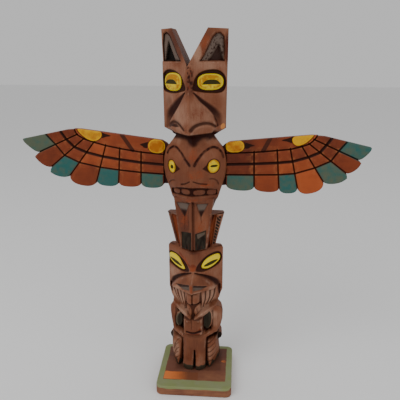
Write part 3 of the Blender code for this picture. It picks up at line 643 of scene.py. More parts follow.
    def carve(self) -> None:
        """Ears, eyes, beak and forehead."""
        for cut in (self.hollow_ears, self.set_eyes, self.cut_beak, self.nick_forehead):
            cut()

    def hollow_ears(self) -> None:
        """A scooped tongue in each ear, with a deep pit below its point."""
        wood = self.wood
        for outline, pit, gritty in zip(self.tongues, self.pits, (0, 1)):
            hollow, deep = wood.shape(outline), wood.shape(pit)
            wood.sink(hollow, 2.6)
            wood.lower(0.9 * near(hollow + 0.7, 1.0) * (hollow < 0.3))
            wood.sink(deep, 3.6, 1.6)
            wood.coat(Paint.GREY, hollow + 0.9)
            wood.coat(Paint.BLACK, np.abs(hollow + 0.4) - 0.4 + 0.3 * gritty)
            wood.coat(Paint.BLACK, deep + 0.2 + 4.0 * gritty)
            wood.stain((0.9 - 0.14 * gritty) * ease(0.4 - deep / 1.6))
            inside = ease(-hollow - 0.6) * ease(0.5 + deep)
            wood.spare(inside)
            grit = gritty * wood.noise(0.75, 0.8, 5)
            wood.lower(0.32 * grit * inside)
            wood.stain(0.8 * inside * ease(1.5 * grit + 0.1))
        rim = wood.shape(self.ear_rim)
        wood.coat(Paint.RED, rim + 0.4)
        wood.stain(0.5 * ease(0.5 - rim))
        # painted shade on the left cheek, beside the beak's furrow
        wood.stain(0.44 * wood.spot(-21.5, 248.0, 8.0, 12.0))

    def set_eyes(self) -> None:
        """Dark D-shaped sockets with a domed, painted eye in each."""
        wood, above = self.wood, self.wood.z - self.pupil_foot
        looks = zip(self.sockets, self.eyes, self.pupils, self.ochres)
        for outline, eye, (pupil_x, pupil_half), (whole, upper) in looks:
            socket, ball = wood.curve(outline), wood.oval(eye)
            wood.sink(np.maximum(socket, self.socket_side - wood.x), 2.6, 1.5)
            wood.stain(0.92 * ease(0.7 - socket))
            # painted shade in the top of each socket, under the brow
            wood.stain(near(socket + 0.6, 1.6) * ease((wood.z - 262.0) / 6.0))
            wood.swell(ball, 2.9, 3.4)
            wood.stain(0.9 * near(ball - 0.4, 0.9))
            wood.coat(Paint.YELLOW, ball)
            over = ease(above / 2.0) * ease((pupil_x + 7.0 - wood.x) / 4.0)
            aside = ease((pupil_x - pupil_half + 1.0 - wood.x) / 3.0)
            ochre = whole + np.maximum(upper * over, 0.6 * aside) + 0.42 * wood.noise(1.3, 1.3, 7)
            wood.fade(ease((-ball - 0.8) / 0.8) * ochre)
            arch = 1.0 - np.abs((wood.x - pupil_x) / pupil_half) ** 3
            pupil = np.maximum(-above, above - self.pupil_rise * arch)
            wood.sink(pupil, 0.5)
            wood.coat(Paint.BLACK, pupil)
            wood.faded = wood.faded * ease(0.5 + pupil)

    def cut_beak(self) -> None:
        """Widening furrows beside the beak, arched nostrils and rolled lips."""
        wood = self.wood
        for furrow in self.furrows:
            wood.valley(*furrow)
        for arc, thick in self.nostrils:
            wood.groove(arc, thick, 1.7, 0.74)
            # painted shade on the beak just above each nostril arc
            wood.stain(0.36 * near(wood.path([(px, pz + 1.7) for px, pz in arc[1:]])[0], 2.4))
            wood.lower(-0.8 * near(wood.path([(px, pz - 2.9) for px, pz in arc])[0], 2.5))
        wedge = wood.shape(self.wedge)
        wood.sink(wedge, 0.6, 1.0)
        wood.stain(0.82 * ease(0.5 - wedge))
        wood.stain(0.5 * wood.spot(-3.0, 227.6, 3.0, 1.2))
        streak, along = wood.path(((-1.7, 246.0), (-1.2, 236.0), (-0.8, 228.6)))
        wood.coat(Paint.RED, streak + 0.15 + 0.5 * (along > 0.97))
        wood.coat(Paint.CHIP, wood.oval(Oval(23.2, 228.2, 1.7, 2.6, -14)))

    def nick_forehead(self) -> None:
        """Small knife nicks down the ridge between the eyes."""
        wood = self.wood
        band = near(wood.x + 1.2, 5.2) * ease((wood.z - 254.0) / 6) * ease((self.ledge - wood.z) / 4)
        nicks = wood.noise(1.1, 1.5, 11) + 0.6 * wood.noise(0.7, 0.9, 12)
        wood.lower(0.45 * band * nicks)
        wood.stain(0.95 * band * ease(0.8 * nicks + 0.5))
        wood.coat(Paint.RED, 0.4 - 1.1 * band * ease(wood.noise(1.4, 1.6, 13)))


# ---------------------------------------------------------------- second figure
@dataclass
class SecondFigure(Figure):
    """The rounded face below the head: full cheeks, small eyes and a long mouth."""

    foot: float = 155.0
    top: float = 222.5
    side_y: float = 12.0
    roundness: float = 1.35
    profile: Rows = (  # height, half-width, front
        (155.0, 14.5, 1.0), (165.6, 18.4, -4.0), (167.2, 19.8, -7.0), (175.0, 22.2, -7.6),
        (185.0, 25.6, -8.2), (194.0, 27.0, -7.6), (202.0, 26.5, -6.2), (210.0, 24.4, -3.4),
        (216.0, 19.5, 0.0), (222.5, 15.0, 2.5),
    )
    brows: tuple[Line, Line] = (
        ((-1.4, 198.4), (-5.7, 203.0), (-9.3, 207.5), (-13.7, 211.0), (-17.5, 211.6), (-21.2, 209.0),
         (-23.2, 205.6)),
        ((2.4, 198.4), (5.6, 204.0), (9.8, 209.0), (15.2, 211.9), (19.2, 211.1), (22.7, 207.6),
         (24.5, 202.9)),
    )
    eyes: tuple[Oval, Oval] = (Oval(-18.3, 195.3, 3.5, 5.3, 8), Oval(17.0, 196.5, 4.5, 5.5))
    wedges: tuple[Line, Line] = (
        ((-15.9, 198.9), (-10.0, 194.6), (-15.2, 190.6)), ((13.4, 199.6), (8.6, 195.3), (14.0, 191.6)),
    )
    pupils: tuple[Oval, Oval] = (Oval(-17.9, 195.3, 1.6, 1.7), Oval(17.5, 197.0, 3.0, 1.1))
    strokes: tuple[tuple, ...] = (  # line, half-width, depth, stain
        (((-9.0, 181.8), (-5.4, 182.9), (-1.4, 185.2)), (1.0, 0.7), 0.9, 0.75),
        (((1.6, 185.3), (6.0, 183.4), (11.8, 182.0)), (0.7, 1.0), 0.9, 0.75),
        (((-21.8, 180.2), (-19.4, 182.8), (-15.9, 184.0)), 0.9, 0.8, 0.6),
        (((14.4, 186.3), (17.2, 185.9), (19.6, 183.7), (20.8, 180.4)), 0.9, 0.8, 0.6),
    )
    teeth: tuple[Oval, ...] = (
        Oval(-14.2, 174.3, 3.6, 2.3, 8, 2.7), Oval(-5.4, 175.6, 4.3, 2.4, 3, 2.7),
        Oval(5.9, 175.3, 4.7, 2.5, -3, 2.7), Oval(15.2, 174.0, 3.8, 2.5, -12, 2.7),
    )
    mouth: Row = (176.0, 19.4, 3.5, 3.0)  # height, half-width, half-height, droop
    tints: Rows = (
        (0.6, 200, 3.4, 7, -0.12), (10, 186, 10, 6, 0.06), (-16, 204, 7, 6, 0.14), (13, 206, 8, 5, 0.16),
        (-16, 217, 7, 4, 0.22), (16, 217, 7, 4, 0.22), (0, 175, 17, 3, -0.1),
    )
    flushes: Rows = ((0.8, 206, 4.6, 8), (0, 168.8, 17, 2.2), (12, 181, 8, 4), (4, 191, 8, 5))

    def half_width(self, z: Grid, side: int) -> Grid:
        """How far the face reaches to either side, its stations joined and then eased."""
        eased = [stations(z + step, self.profile)[0] for step in (-1.0, 0.0, 1.0)]
        return np.where((z >= self.foot) & (z <= self.top), sum(eased) / 3, 0.0)

    def rough_out(self) -> None:
        """The rounded mass: depth grows with a power of the share of the width."""
        wood, front = self.wood, stations(self.wood.z, self.profile)[1]
        half = np.maximum(self.reach(), self.profile[0][1])
        share = np.minimum(np.abs(wood.x) / half, 1.0)
        depth = front + (self.side_y - front) * share**self.roundness
        wood.add(depth, np.maximum(self.foot - wood.z, wood.z - self.top), 0.4)

    def carve(self) -> None:
        """Brows, eyes, nose and mouth."""
        for cut in (self.line_brows, self.set_eyes, self.cut_nose, self.cut_mouth):
            cut()

    def line_brows(self) -> None:
        """A fine line over each eye, with the lid side a little lower."""
        wood = self.wood
        broken = 0.8 + 0.25 * wood.noise(1.6, 1.6, 17)
        for brow in self.brows:
            wood.sink(wood.shape(bend(brow)), 0.5, 1.6)
            wood.groove(brow, (1.6, 1.1), 1.1, broken)
        # painted shadow of the beak over dark stain, across the top of the face
        low = 214.5 - 5.0 * near(wood.x - 0.5, 8.0) + 0.8 * wood.noise(2.0, 3.0, 18)
        wood.stain(ease((wood.z - low) / 7.0) * ease((225.0 - wood.z) / 2))
        wood.stain(0.32 * wood.spot(-17.0, 214.0, 7.0, 8.0))

    def set_eyes(self) -> None:
        """Round bright eyes, ringed dark, with a dark wedge to the nose."""
        wood = self.wood
        for eye, wedge, pupil in zip(self.eyes, self.wedges, self.pupils):
            corner, ball, dot = wood.shape(wedge), wood.oval(eye), wood.oval(pupil)
            wood.sink(corner, 0.9, 1.2)
            wood.stain(0.82 * ease(0.6 - corner / 0.9))
            wood.sink(ball - 0.5, 0.7, 1.0)
            wood.swell(ball, 1.5, 2.2)
            wood.stain(0.9 * near(ball - 0.4, 0.8))
            wood.coat(Paint.YELLOW, ball)
            wood.coat(Paint.BLACK, dot)
            rim = 0.34 + 0.4 * ease((ball + 1.0) / 0.6) + 0.2 * wood.noise(1.2, 1.2, 16)
            wood.fade_in(ball < 0.5, rim * ease(0.5 + dot))

    def cut_nose(self) -> None:
        """Two shallow strokes for the nose and one on each cheek."""
        wood = self.wood
        for stroke in self.strokes:
            wood.groove(*stroke)
        wood.lower(-0.4 * near(wood.path(((9.4, 194.0), (13.0, 191.2), (17.2, 190.1)))[0], 1.2))
        wood.coat(Paint.RED, wood.oval(Oval(11.0, 181.4, 4.4, 0.9, -10)) + 0.3)

    def cut_mouth(self) -> None:
        """A long drooping slot with four blunt teeth between rolled lips."""
        wood, (height, wide, high, droop) = self.wood, self.mouth
        share = np.clip(wood.x / wide, -1.0, 1.0)
        over = np.abs(wood.z - height + droop * share**2) - high * np.sqrt(1.02 - 0.55 * share**2)
        wood.lower(-0.5 * near(over - 1.6, 1.7) * ease((wide - np.abs(wood.x)) / 3))
        slot = np.maximum(over, np.abs(wood.x) - wide)
        wood.sink(slot, 2.3)
        wood.stain(0.95 * ease(0.6 - slot / 0.8))
        for tooth in self.teeth:
            blunt = wood.oval(tooth)
            wood.swell(blunt, 1.9, 1.2)
            wood.wipe(0.9 * ease(0.3 - blunt / 0.7))


# ---------------------------------------------------------------- tail and ears
@dataclass
class TailAndEars(Figure):
    """The tapering tail with its painted panels, and the flared ears beside it."""

    foot: float = 123.0
    top: float = 168.0
    ridge: Point = (0.8, -3.6)
    halves: Point = (11.4, 17.2)  # at the foot and at the top
    edges: Point = (2.4, 5.0)
    ear_tops: Point = (152.4, 153.6)  # left and right
    ear_foot: float = 121.0
    ear_front: float = 11.5
    ear_steps: Point = (14.6, 21.3)
    ear_reach: tuple[Point, Point] = ((17.4, 25.2), (17.2, 25.4))  # left and right
    ear_back: float = 21.5
    triangles: tuple[Line, Line] = (
        ((-15.0, 164.2), (-2.2, 165.9), (-6.8, 152.6)), ((3.2, 165.1), (12.9, 164.5), (7.0, 152.4)),
    )
    strips: tuple[tuple, ...] = (  # line, half-width, depth, stain
        (((0.8, 167.0), (0.8, 122.6)), 1.7, 1.8, 0.5), (((0.3, 167.0), (0.3, 122.6)), 0.6, 0.3, 0.66),
        (((-6.8, 152.8), (-6.9, 141.4)), (0.9, 0.6), 0.6, 0.4),
        (((-3.4, 161.0), (-3.0, 141.0)), (0.6, 0.8), 0.4, 0.3),
        (((7.0, 152.6), (7.6, 148.0)), (0.8, 0.5), 0.5, 0.5),
    )
    panels: tuple[Line, Line] = (
        ((-10.6, 138.6), (-0.8, 139.6), (-0.8, 123.2), (-10.2, 123.2)),
        ((2.1, 138.6), (11.4, 141.0), (10.9, 123.2), (2.1, 123.2)),
    )
    grey_patch: Line = ((3.6, 138.0), (10.4, 138.9), (10.0, 137.0), (4.4, 133.4))
    ear_faces: tuple[Line, Line] = (
        ((-20.6, 150.8), (-13.0, 150.8), (-10.6, 123.4), (-14.6, 123.4)),
        ((12.0, 151.8), (18.6, 151.8), (14.6, 123.4), (10.6, 123.4)),
    )
    outer_face: Line = ((19.6, 150.2), (23.6, 151.4), (17.2, 124.0), (15.4, 124.0))
    hatch_pitch: float = 3.4
    # the last two pale the ears' upward-facing tops: painted light
    tints: Rows = (
        (8, 146, 5, 12, 0.28), (-7, 146, 4, 10, -0.3), (21, 143, 4, 10, 0.5), (-21, 152.4, 6, 1.6, 0.6),
        (21, 153.4, 6, 1.6, 0.5),
    )
    flushes: Rows = ((7, 147, 8, 11), (-7, 147, 5.4, 11))

    def half_width(self, z: Grid, side: int) -> Grid:
        """The wider of the tail and one ear at a height."""
        top = self.ear_tops[side > 0]
        tail = np.interp(z, (self.foot, self.top), self.halves)
        ears = np.interp(z, (self.ear_foot, top), self.ear_reach[side > 0])
        tail = np.where((z < self.foot) | (z > self.top), 0.0, tail)
        return np.maximum(tail, np.where((z < self.ear_foot) | (z > top), 0.0, ears))

    def rough_out(self) -> None:
        """The tail's two slopes in front, and an ear behind on either side."""
        wood, x, z = self.wood, self.wood.x, self.wood.z
        half, edge = (np.interp(z, (self.foot, self.top), run) for run in (self.halves, self.edges))
        ends = np.maximum(self.foot - z, z - self.top)
        wood.add(vee(x, self.ridge, half, edge), np.maximum(np.abs(x) - half, ends), 0.6)
        for side, top, widths in zip((-1, 1), self.ear_tops, self.ear_reach):
            ear = []
            for height, step, reach in zip((self.ear_foot, top), self.ear_steps, widths):
                ear += [(9, 12, height), (step, self.ear_front, height), (reach, 15.5, height)]
                ear += [(reach, self.ear_back, height), (9, self.ear_back, height)]
            wood.add(*hewn(x, z, mirrored(side, ear)), edge=0.7)

    def carve(self) -> None:
        """Sunk triangles, strips, dark ribbed panels and the ears' faces."""
        for cut in (self.cut_slopes, self.cut_panels, self.face_ears):
            cut()

    def cut_slopes(self) -> None:
        """A sunk triangle, point down, on each slope, the split and the strips' edges."""
        wood = self.wood
        for corners in self.triangles:
            panel = wood.shape(corners)
            wood.sink(panel, 1.3, 1.0)
            wood.coat(Paint.GREY, panel + 0.2)
            wood.stain(0.9 * ease((161.5 - wood.z) / 4.5) * ease(0.4 - panel))
            wood.stain(0.5 * near(panel, 0.8))
        for strip in self.strips:
            wood.groove(*strip, straight=True)

    def cut_panels(self) -> None:
        """Black panels at the tail's foot, with upright ribs worn pale."""
        wood = self.wood
        for side, corners in zip((-1, 1), self.panels):
            panel = wood.shape(corners)
            wood.sink(panel, 1.2)
            wood.coat(Paint.BLACK, panel + 0.2)
            wood.fade_in(panel < 0.5, 0.3 + 0.3 * wood.noise(1.2, 4.0, 20))
            for x, high in ((3.9, 132.0), (6.7, 130.0)):
                rib = near(wood.x - side * x - 0.6, 1.1) * ease(-panel - 0.4) * ease((high - wood.z) / 4)
                wood.lower(-0.55 * rib)
                wood.keep_off(Paint.BLACK, 0.85 - rib)
                wood.stain(0.8 * rib)
        patch = wood.shape(self.grey_patch)
        wood.keep_off(Paint.BLACK, patch)
        wood.coat(Paint.GREY, patch)
        wood.stain(0.35 * (patch < 0.3))

    def face_ears(self) -> None:
        """Red inner faces, and a hatched black outer face on the right ear."""
        wood = self.wood
        for outline in self.ear_faces:
            inner, behind = wood.shape(outline), ease((wood.depth - 8.5) / 1.5)
            wood.lower(1.1 * ease(0.5 - inner) * behind)
            wood.coat(Paint.RED, np.where(behind > 0.5, inner - 0.4, FAR))
            wood.stain(0.34 * near(inner, 0.9) * behind)
            wood.fade(behind * (inner < 0.5))
            wood.spare(0.85 * behind * near(wood.z - 138.0, 15.0))
        outer = wood.shape(self.outer_face)
        wood.sink(outer, 0.7)
        wood.coat(Paint.BLACK, outer)
        hatch = np.sin((wood.z + 1.2 * wood.x) * 2 * math.pi / self.hatch_pitch)
        inside = ease(-outer / 0.5)
        wood.lower(-0.35 * ease(2 * hatch - 0.6) * inside)
        wood.keep_off(Paint.BLACK, 0.5 - 0.95 * ease(2.4 * hatch - 1.15) * inside)
        wood.groove(((-21.8, 150.8), (-15.2, 124.0)), 0.7, 0.6, 0.75, straight=True)


# ---------------------------------------------------------------- lower head
@dataclass
class LowerHead(Figure):
    """The lower head: slanted eyes, a wedge of a snout and a V of bared teeth."""

    foot: float = 57.0
    top: float = 122.0
    axis: float = 0.6  # the forehead, eyes and jaw are carved off the upright's axis
    halves: Point = (25.1, 24.5)  # to the left and to the right of the axis
    jaws: tuple[Line, Line] = (  # height and reach below the cheeks
        ((57.0, 17.0), (63.0, 19.2), (66.5, 20.8), (72.0, 23.1), (80.0, 24.9)),
        ((57.0, 17.0), (63.0, 18.2), (68.0, 19.6), (71.0, 21.5), (75.6, 22.8), (80.0, 24.4)),
    )
    ridge: Point = (0.3, -5.0)
    jaw_slope: float = 0.39
    jaw_rim: float = 61.6
    side_y: float = 17.0
    snout: Rows = (
        (0.7, -6.2, 102.4), (0.6, -12.2, 95.4), (0.2, -11.6, 85.4), (-21.2, 6.4, 83.8), (19.0, 6.4, 84.4),
        (0.5, 3.0, 99.4), (-20.4, 13.2, 84.0), (18.2, 13.2, 84.4), (-10.5, 0.2, 96.2), (10.8, 0.2, 96.2),
        (-17.0, 4.0, 90.0), (16.4, 4.0, 90.0),
    )
    brow: Line = (
        (-17.0, 121.6), (-12.4, 115.6), (-6.6, 109.4), (-1.9, 103.8), (2.5, 104.2), (5.6, 111.4),
        (10.6, 117.6), (15.8, 121.6),
    )
    sockets: tuple[Line, Line] = (
        ((-24.4, 113.4), (-19.7, 115.6), (-12.4, 114.0), (-7.2, 110.6), (-3.0, 104.2), (-6.6, 101.6),
         (-13.0, 100.6), (-20.0, 101.8), (-24.6, 104.6)),
        ((3.0, 104.6), (5.0, 110.2), (10.3, 115.4), (16.6, 117.8), (21.6, 116.8), (23.6, 111.0),
         (21.0, 105.6), (15.6, 103.0), (8.6, 102.0)),
    )
    eyes: tuple[Line, Line] = (
        ((-24.1, 112.4), (-19.4, 114.0), (-14.2, 112.6), (-9.6, 107.6), (-7.5, 103.5), (-12.0, 102.4),
         (-18.4, 103.4), (-23.9, 106.8)),
        ((7.2, 107.6), (9.8, 112.2), (14.4, 114.8), (19.8, 115.4), (22.0, 113.2), (21.6, 109.2),
         (17.4, 105.4), (12.4, 103.7), (8.4, 104.8)),
    )
    slits: tuple[Line, Line] = (((-23.6, 108.8), (-10.4, 105.6)), ((9.2, 107.0), (20.4, 110.0)))
    furrows: tuple[tuple[Line, Line], ...] = (  # outer line, inner line
        (((-1.4, 103.8), (-9.6, 99.8), (-17.6, 94.6), (-22.6, 89.2), (-24.8, 80.0)),
         ((-0.4, 102.6), (-5.4, 99.6), (-10.5, 96.2), (-17.0, 90.2), (-21.2, 84.2), (-23.0, 80.0))),
        (((2.0, 103.8), (9.6, 99.8), (17.4, 94.8), (22.4, 89.2), (24.2, 80.0)),
         ((1.6, 102.6), (6.2, 99.6), (10.8, 96.2), (16.4, 90.2), (19.6, 84.8), (22.2, 80.4))),
    )
    creases: tuple[Line, Line] = (((-22.9, 84.0), (-22.2, 75.4)), ((21.6, 84.6), (21.8, 75.4)))
    nostrils: tuple[Line, Line] = (
        ((-16.2, 88.4), (-2.0, 93.4), (-2.0, 87.8), (-8.4, 86.4)),
        ((1.4, 93.8), (12.9, 88.9), (7.2, 87.2), (1.4, 88.0)),
    )
    flutes: tuple[tuple[Line, ...], ...] = (  # left and right
        (((-19.6, 82.6), (-17.8, 75.4), (-13.2, 68.6)), ((-16.4, 82.8), (-14.2, 74.4), (-10.4, 67.2)),
         ((-12.6, 83.0), (-10.4, 73.6), (-7.6, 65.4)), ((-8.8, 83.6), (-7.4, 74.0), (-6.6, 66.0))),
        (((6.6, 83.8), (7.0, 74.4), (6.8, 66.8)), ((10.4, 83.8), (10.4, 75.2), (8.4, 67.0)),
         ((14.2, 83.8), (13.8, 75.4), (11.2, 68.4)), ((18.2, 83.6), (17.0, 75.4), (14.0, 69.4))),
    )
    teeth: tuple[tuple[Oval, float], ...] = (  # two front teeth, two tusks, and their heights
        (Oval(-3.2, 77.4, 2.6, 5.2, 0, 4.5), 2.4), (Oval(3.0, 78.0, 2.8, 4.9, 0, 4.5), 2.4),
        (Oval(-3.0, 66.6, 2.5, 5.6, 14, 1.6), 2.9), (Oval(4.3, 67.2, 2.6, 5.4, -14, 1.6), 2.9),
    )
    knobs: tuple[Oval, Oval] = (Oval(-2.9, 58.4, 2.0, 1.7), Oval(4.5, 59.2, 2.2, 1.7))
    # the two tilted by 33 degrees pale the jaw's rim bars, partly as painted highlight
    tints: Rows = (
        (-17, 96, 7, 6, 0.32), (17, 99, 6, 4, 0.04), (0.6, 113, 9, 9, -0.12), (-14, 76, 9, 7, 0.1),
        (13, 76, 9, 7, 0.06), (0, 73, 6, 8, -0.1), (-11, 62.5, 9, 4.4, 0.55, 33),
        (12, 63, 9, 4.4, 0.5, -33), (-11, 88.6, 11, 1.8, 0.3, 26), (11, 89, 11, 1.8, 0.26, -26),
        (8, 93, 9, 7, -0.34), (-8, 94, 8, 6, -0.26), (-14, 76, 6, 7, 0.62), (13, 77, 6, 7, 0.4),
    )
    flushes: Rows = ((-7, 112, 4, 6, -40),)

    def half_width(self, z: Grid, side: int) -> Grid:
        """How far the head reaches to one side, drawn in below the cheeks."""
        half, jaw = self.halves[side > 0], self.jaws[side > 0]
        crown = ((self.top - 1.6, half), (self.top, half - 1.4), (self.top + STEP, 0))
        return stations(z, ((self.foot - STEP, 0), *jaw, *crown))[0]

    def rough_out(self) -> None:
        """The block, the snout and the two bars of the jaw's rim."""
        wood, x, z = self.wood, self.wood.x, self.wood.z
        front = vee(x, self.ridge, np.maximum(self.reach(), self.jaws[0][0][1]), self.side_y)
        wood.add(front, np.maximum(self.foot - z, z - self.top), 1.3)
        wood.add(*hewn(x, z, self.snout, 0.35), edge=0.7, blend=0.4)
        for side in (-1, 1):
            bar = []
            for across, py, pz in ((20.6, 8.0, 67.4), (1.4, -10.6, 60.0)):
                px = side * across + self.axis
                bar += [(px, py, pz + 1.8), (px, py, pz), (px, py + 7, pz + 1.2)]
                bar += [(px, py + 7, pz - 3.4), (px, py + 1.4, pz - 2.4)]
            wood.add(*hewn(x, z, bar, 0.5), edge=0.8, blend=0.5)

    def carve(self) -> None:
        """Forehead, eyes, snout and teeth."""
        for cut in (self.cut_forehead, self.set_eyes, self.cut_snout, self.cut_flutes, self.cut_teeth):
            cut()

    def cut_forehead(self) -> None:
        """A red V between the brows, reddest at its tip."""
        wood = self.wood
        panel = wood.shape(self.brow)
        wood.sink(panel, 0.7, 1.4)
        wood.coat(Paint.RED, np.maximum(wood.oval(Oval(0.6, 106.4, 2.6, 4.6)) - 0.3, panel + 0.3))
        streak, along = wood.path(((-14.0, 119.0), (-8.6, 113.4), (-2.2, 108.0)))
        wood.coat(Paint.RED, streak - 0.5 - 1.2 * along + 0.4 * wood.noise(2.0, 2.0, 19))
        wood.fade(0.9 * ease((110.0 - wood.z) / 4.0) * (panel < 0))
        # painted shade under the tail, across the top of the forehead
        wood.stain(0.6 * wood.spot(self.axis, 121.6, 12.0, 3.4))
        wood.spare(0.8 * ease(-panel / 1.5))

    def set_eyes(self) -> None:
        """Leaf-shaped eyes that slant down to the nose, in dark sockets."""
        wood = self.wood
        for hollow, leaf, slit in zip(self.sockets, self.eyes, self.slits):
            socket, ball = wood.curve(hollow), wood.curve(leaf)
            wood.sink(socket, 2.2, 1.3)
            wood.stain(0.84 * ease(0.7 - socket / 0.9))
            wood.swell(ball, 2.3, 2.8)
            wood.stain(near(ball - 0.5, 1.2))
            wood.coat(Paint.YELLOW, ball)
            distance, along = path_distance(wood.x, wood.z, slit)
            pupil = distance - 1.7 * np.sqrt(np.maximum(np.sin(math.pi * along), 0.0))
            wood.sink(pupil, 0.4, 0.8)
            wood.coat(Paint.BLACK, pupil)

    def cut_snout(self) -> None:
        """The deep arch over the snout, its nostrils and its lip line."""
        wood, beside = self.wood, np.abs(self.wood.x - self.axis)
        for furrow, crease in zip(self.furrows, self.creases):
            wood.valley(*furrow)
            wood.groove(crease, (1.8, 0.9), 1.3, 0.9)
        for corners in self.nostrils:
            hole = wood.shape(corners)
            wood.sink(hole, 2.0, 1.1)
            wood.coat(Paint.GREY, hole + 0.1)
            floor = 86.9 + 0.42 * np.maximum(12.0 - np.abs(wood.x), 0.0)
            low = 0.75 * ease((wood.z - floor) / 1.2 + 0.5)
            wood.stain(ease(0.5 - hole / 0.7) * np.maximum(0.32, low))
        wood.coat(Paint.RED, wood.oval(Oval(-0.2, 90.4, 1.3, 4.2)) + 0.5)
        wood.fade_in(wood.oval(Oval(-0.2, 90.4, 2.0, 5.0)) < 0, 0.9)
        wood.spare(0.7 * near(beside * self.jaw_slope + self.jaw_rim - wood.z, 4.0) * (beside > 4.0))

    def cut_flutes(self) -> None:
        """Long fluted side teeth, each pair of flutes with a ridge between."""
        for flutes in self.flutes:
            for flute in flutes:
                self.wood.groove(flute, (0.9, 0.65), 1.2, 0.72)
            for one, other in zip(flutes, flutes[1:]):
                self.wood.lower(-0.6 * near(self.wood.path(np.add(one, other) / 2)[0], 1.3))

    def cut_teeth(self) -> None:
        """Square front teeth above and tusks below, in a dark gap over the jaw's rim."""
        wood = self.wood
        gap = wood.oval(Oval(0.2, 72.6, 6.8, 11.0, 0, 3))
        wood.sink(gap, 0.9, 1.2)
        wood.stain(0.7 * ease(0.5 - gap / 1.2))
        for tooth, height in self.teeth:
            blunt = wood.oval(tooth)
            wood.swell(blunt, height, 1.7)
            wood.wipe(0.92 * ease(0.3 - blunt / 0.8))
        for line in (((-3.6, 63.4), (-2.6, 69.4)), ((4.9, 64.0), (3.9, 69.8))):
            wood.groove(line, 0.55, 0.6, 0.55, straight=True)
        for side, lift in itertools.product((-1, 1), (0.0, 1.5)):
            line = ((side * 18.6 + self.axis, 66.0 + lift), (side * 3.4 + self.axis, 59.6 + lift))
            wood.groove(line, 0.45, 0.35, 0.4, straight=True)
        wood.groove(((-6.4, 72.3), (6.2, 72.7)), 0.8, 1.4, 1.0, straight=True)
        # painted shade under the snout: two spots under its left side and a band along its foot
        wood.stain(0.95 * wood.spot(-19.4, 80.0, 1.6, 4.0))
        wood.stain(wood.spot(-14.6, 82.4, 1.8, 2.4))
        for knob in self.knobs:
            wood.add(-9.6, wood.oval(knob), 1.1, 0.4)
        shade = near(wood.z - 84.2, 2.6) * ease((21.5 - np.abs(wood.x)) / 3)
        wood.stain(0.6 * shade * (wood.z < 84.6))


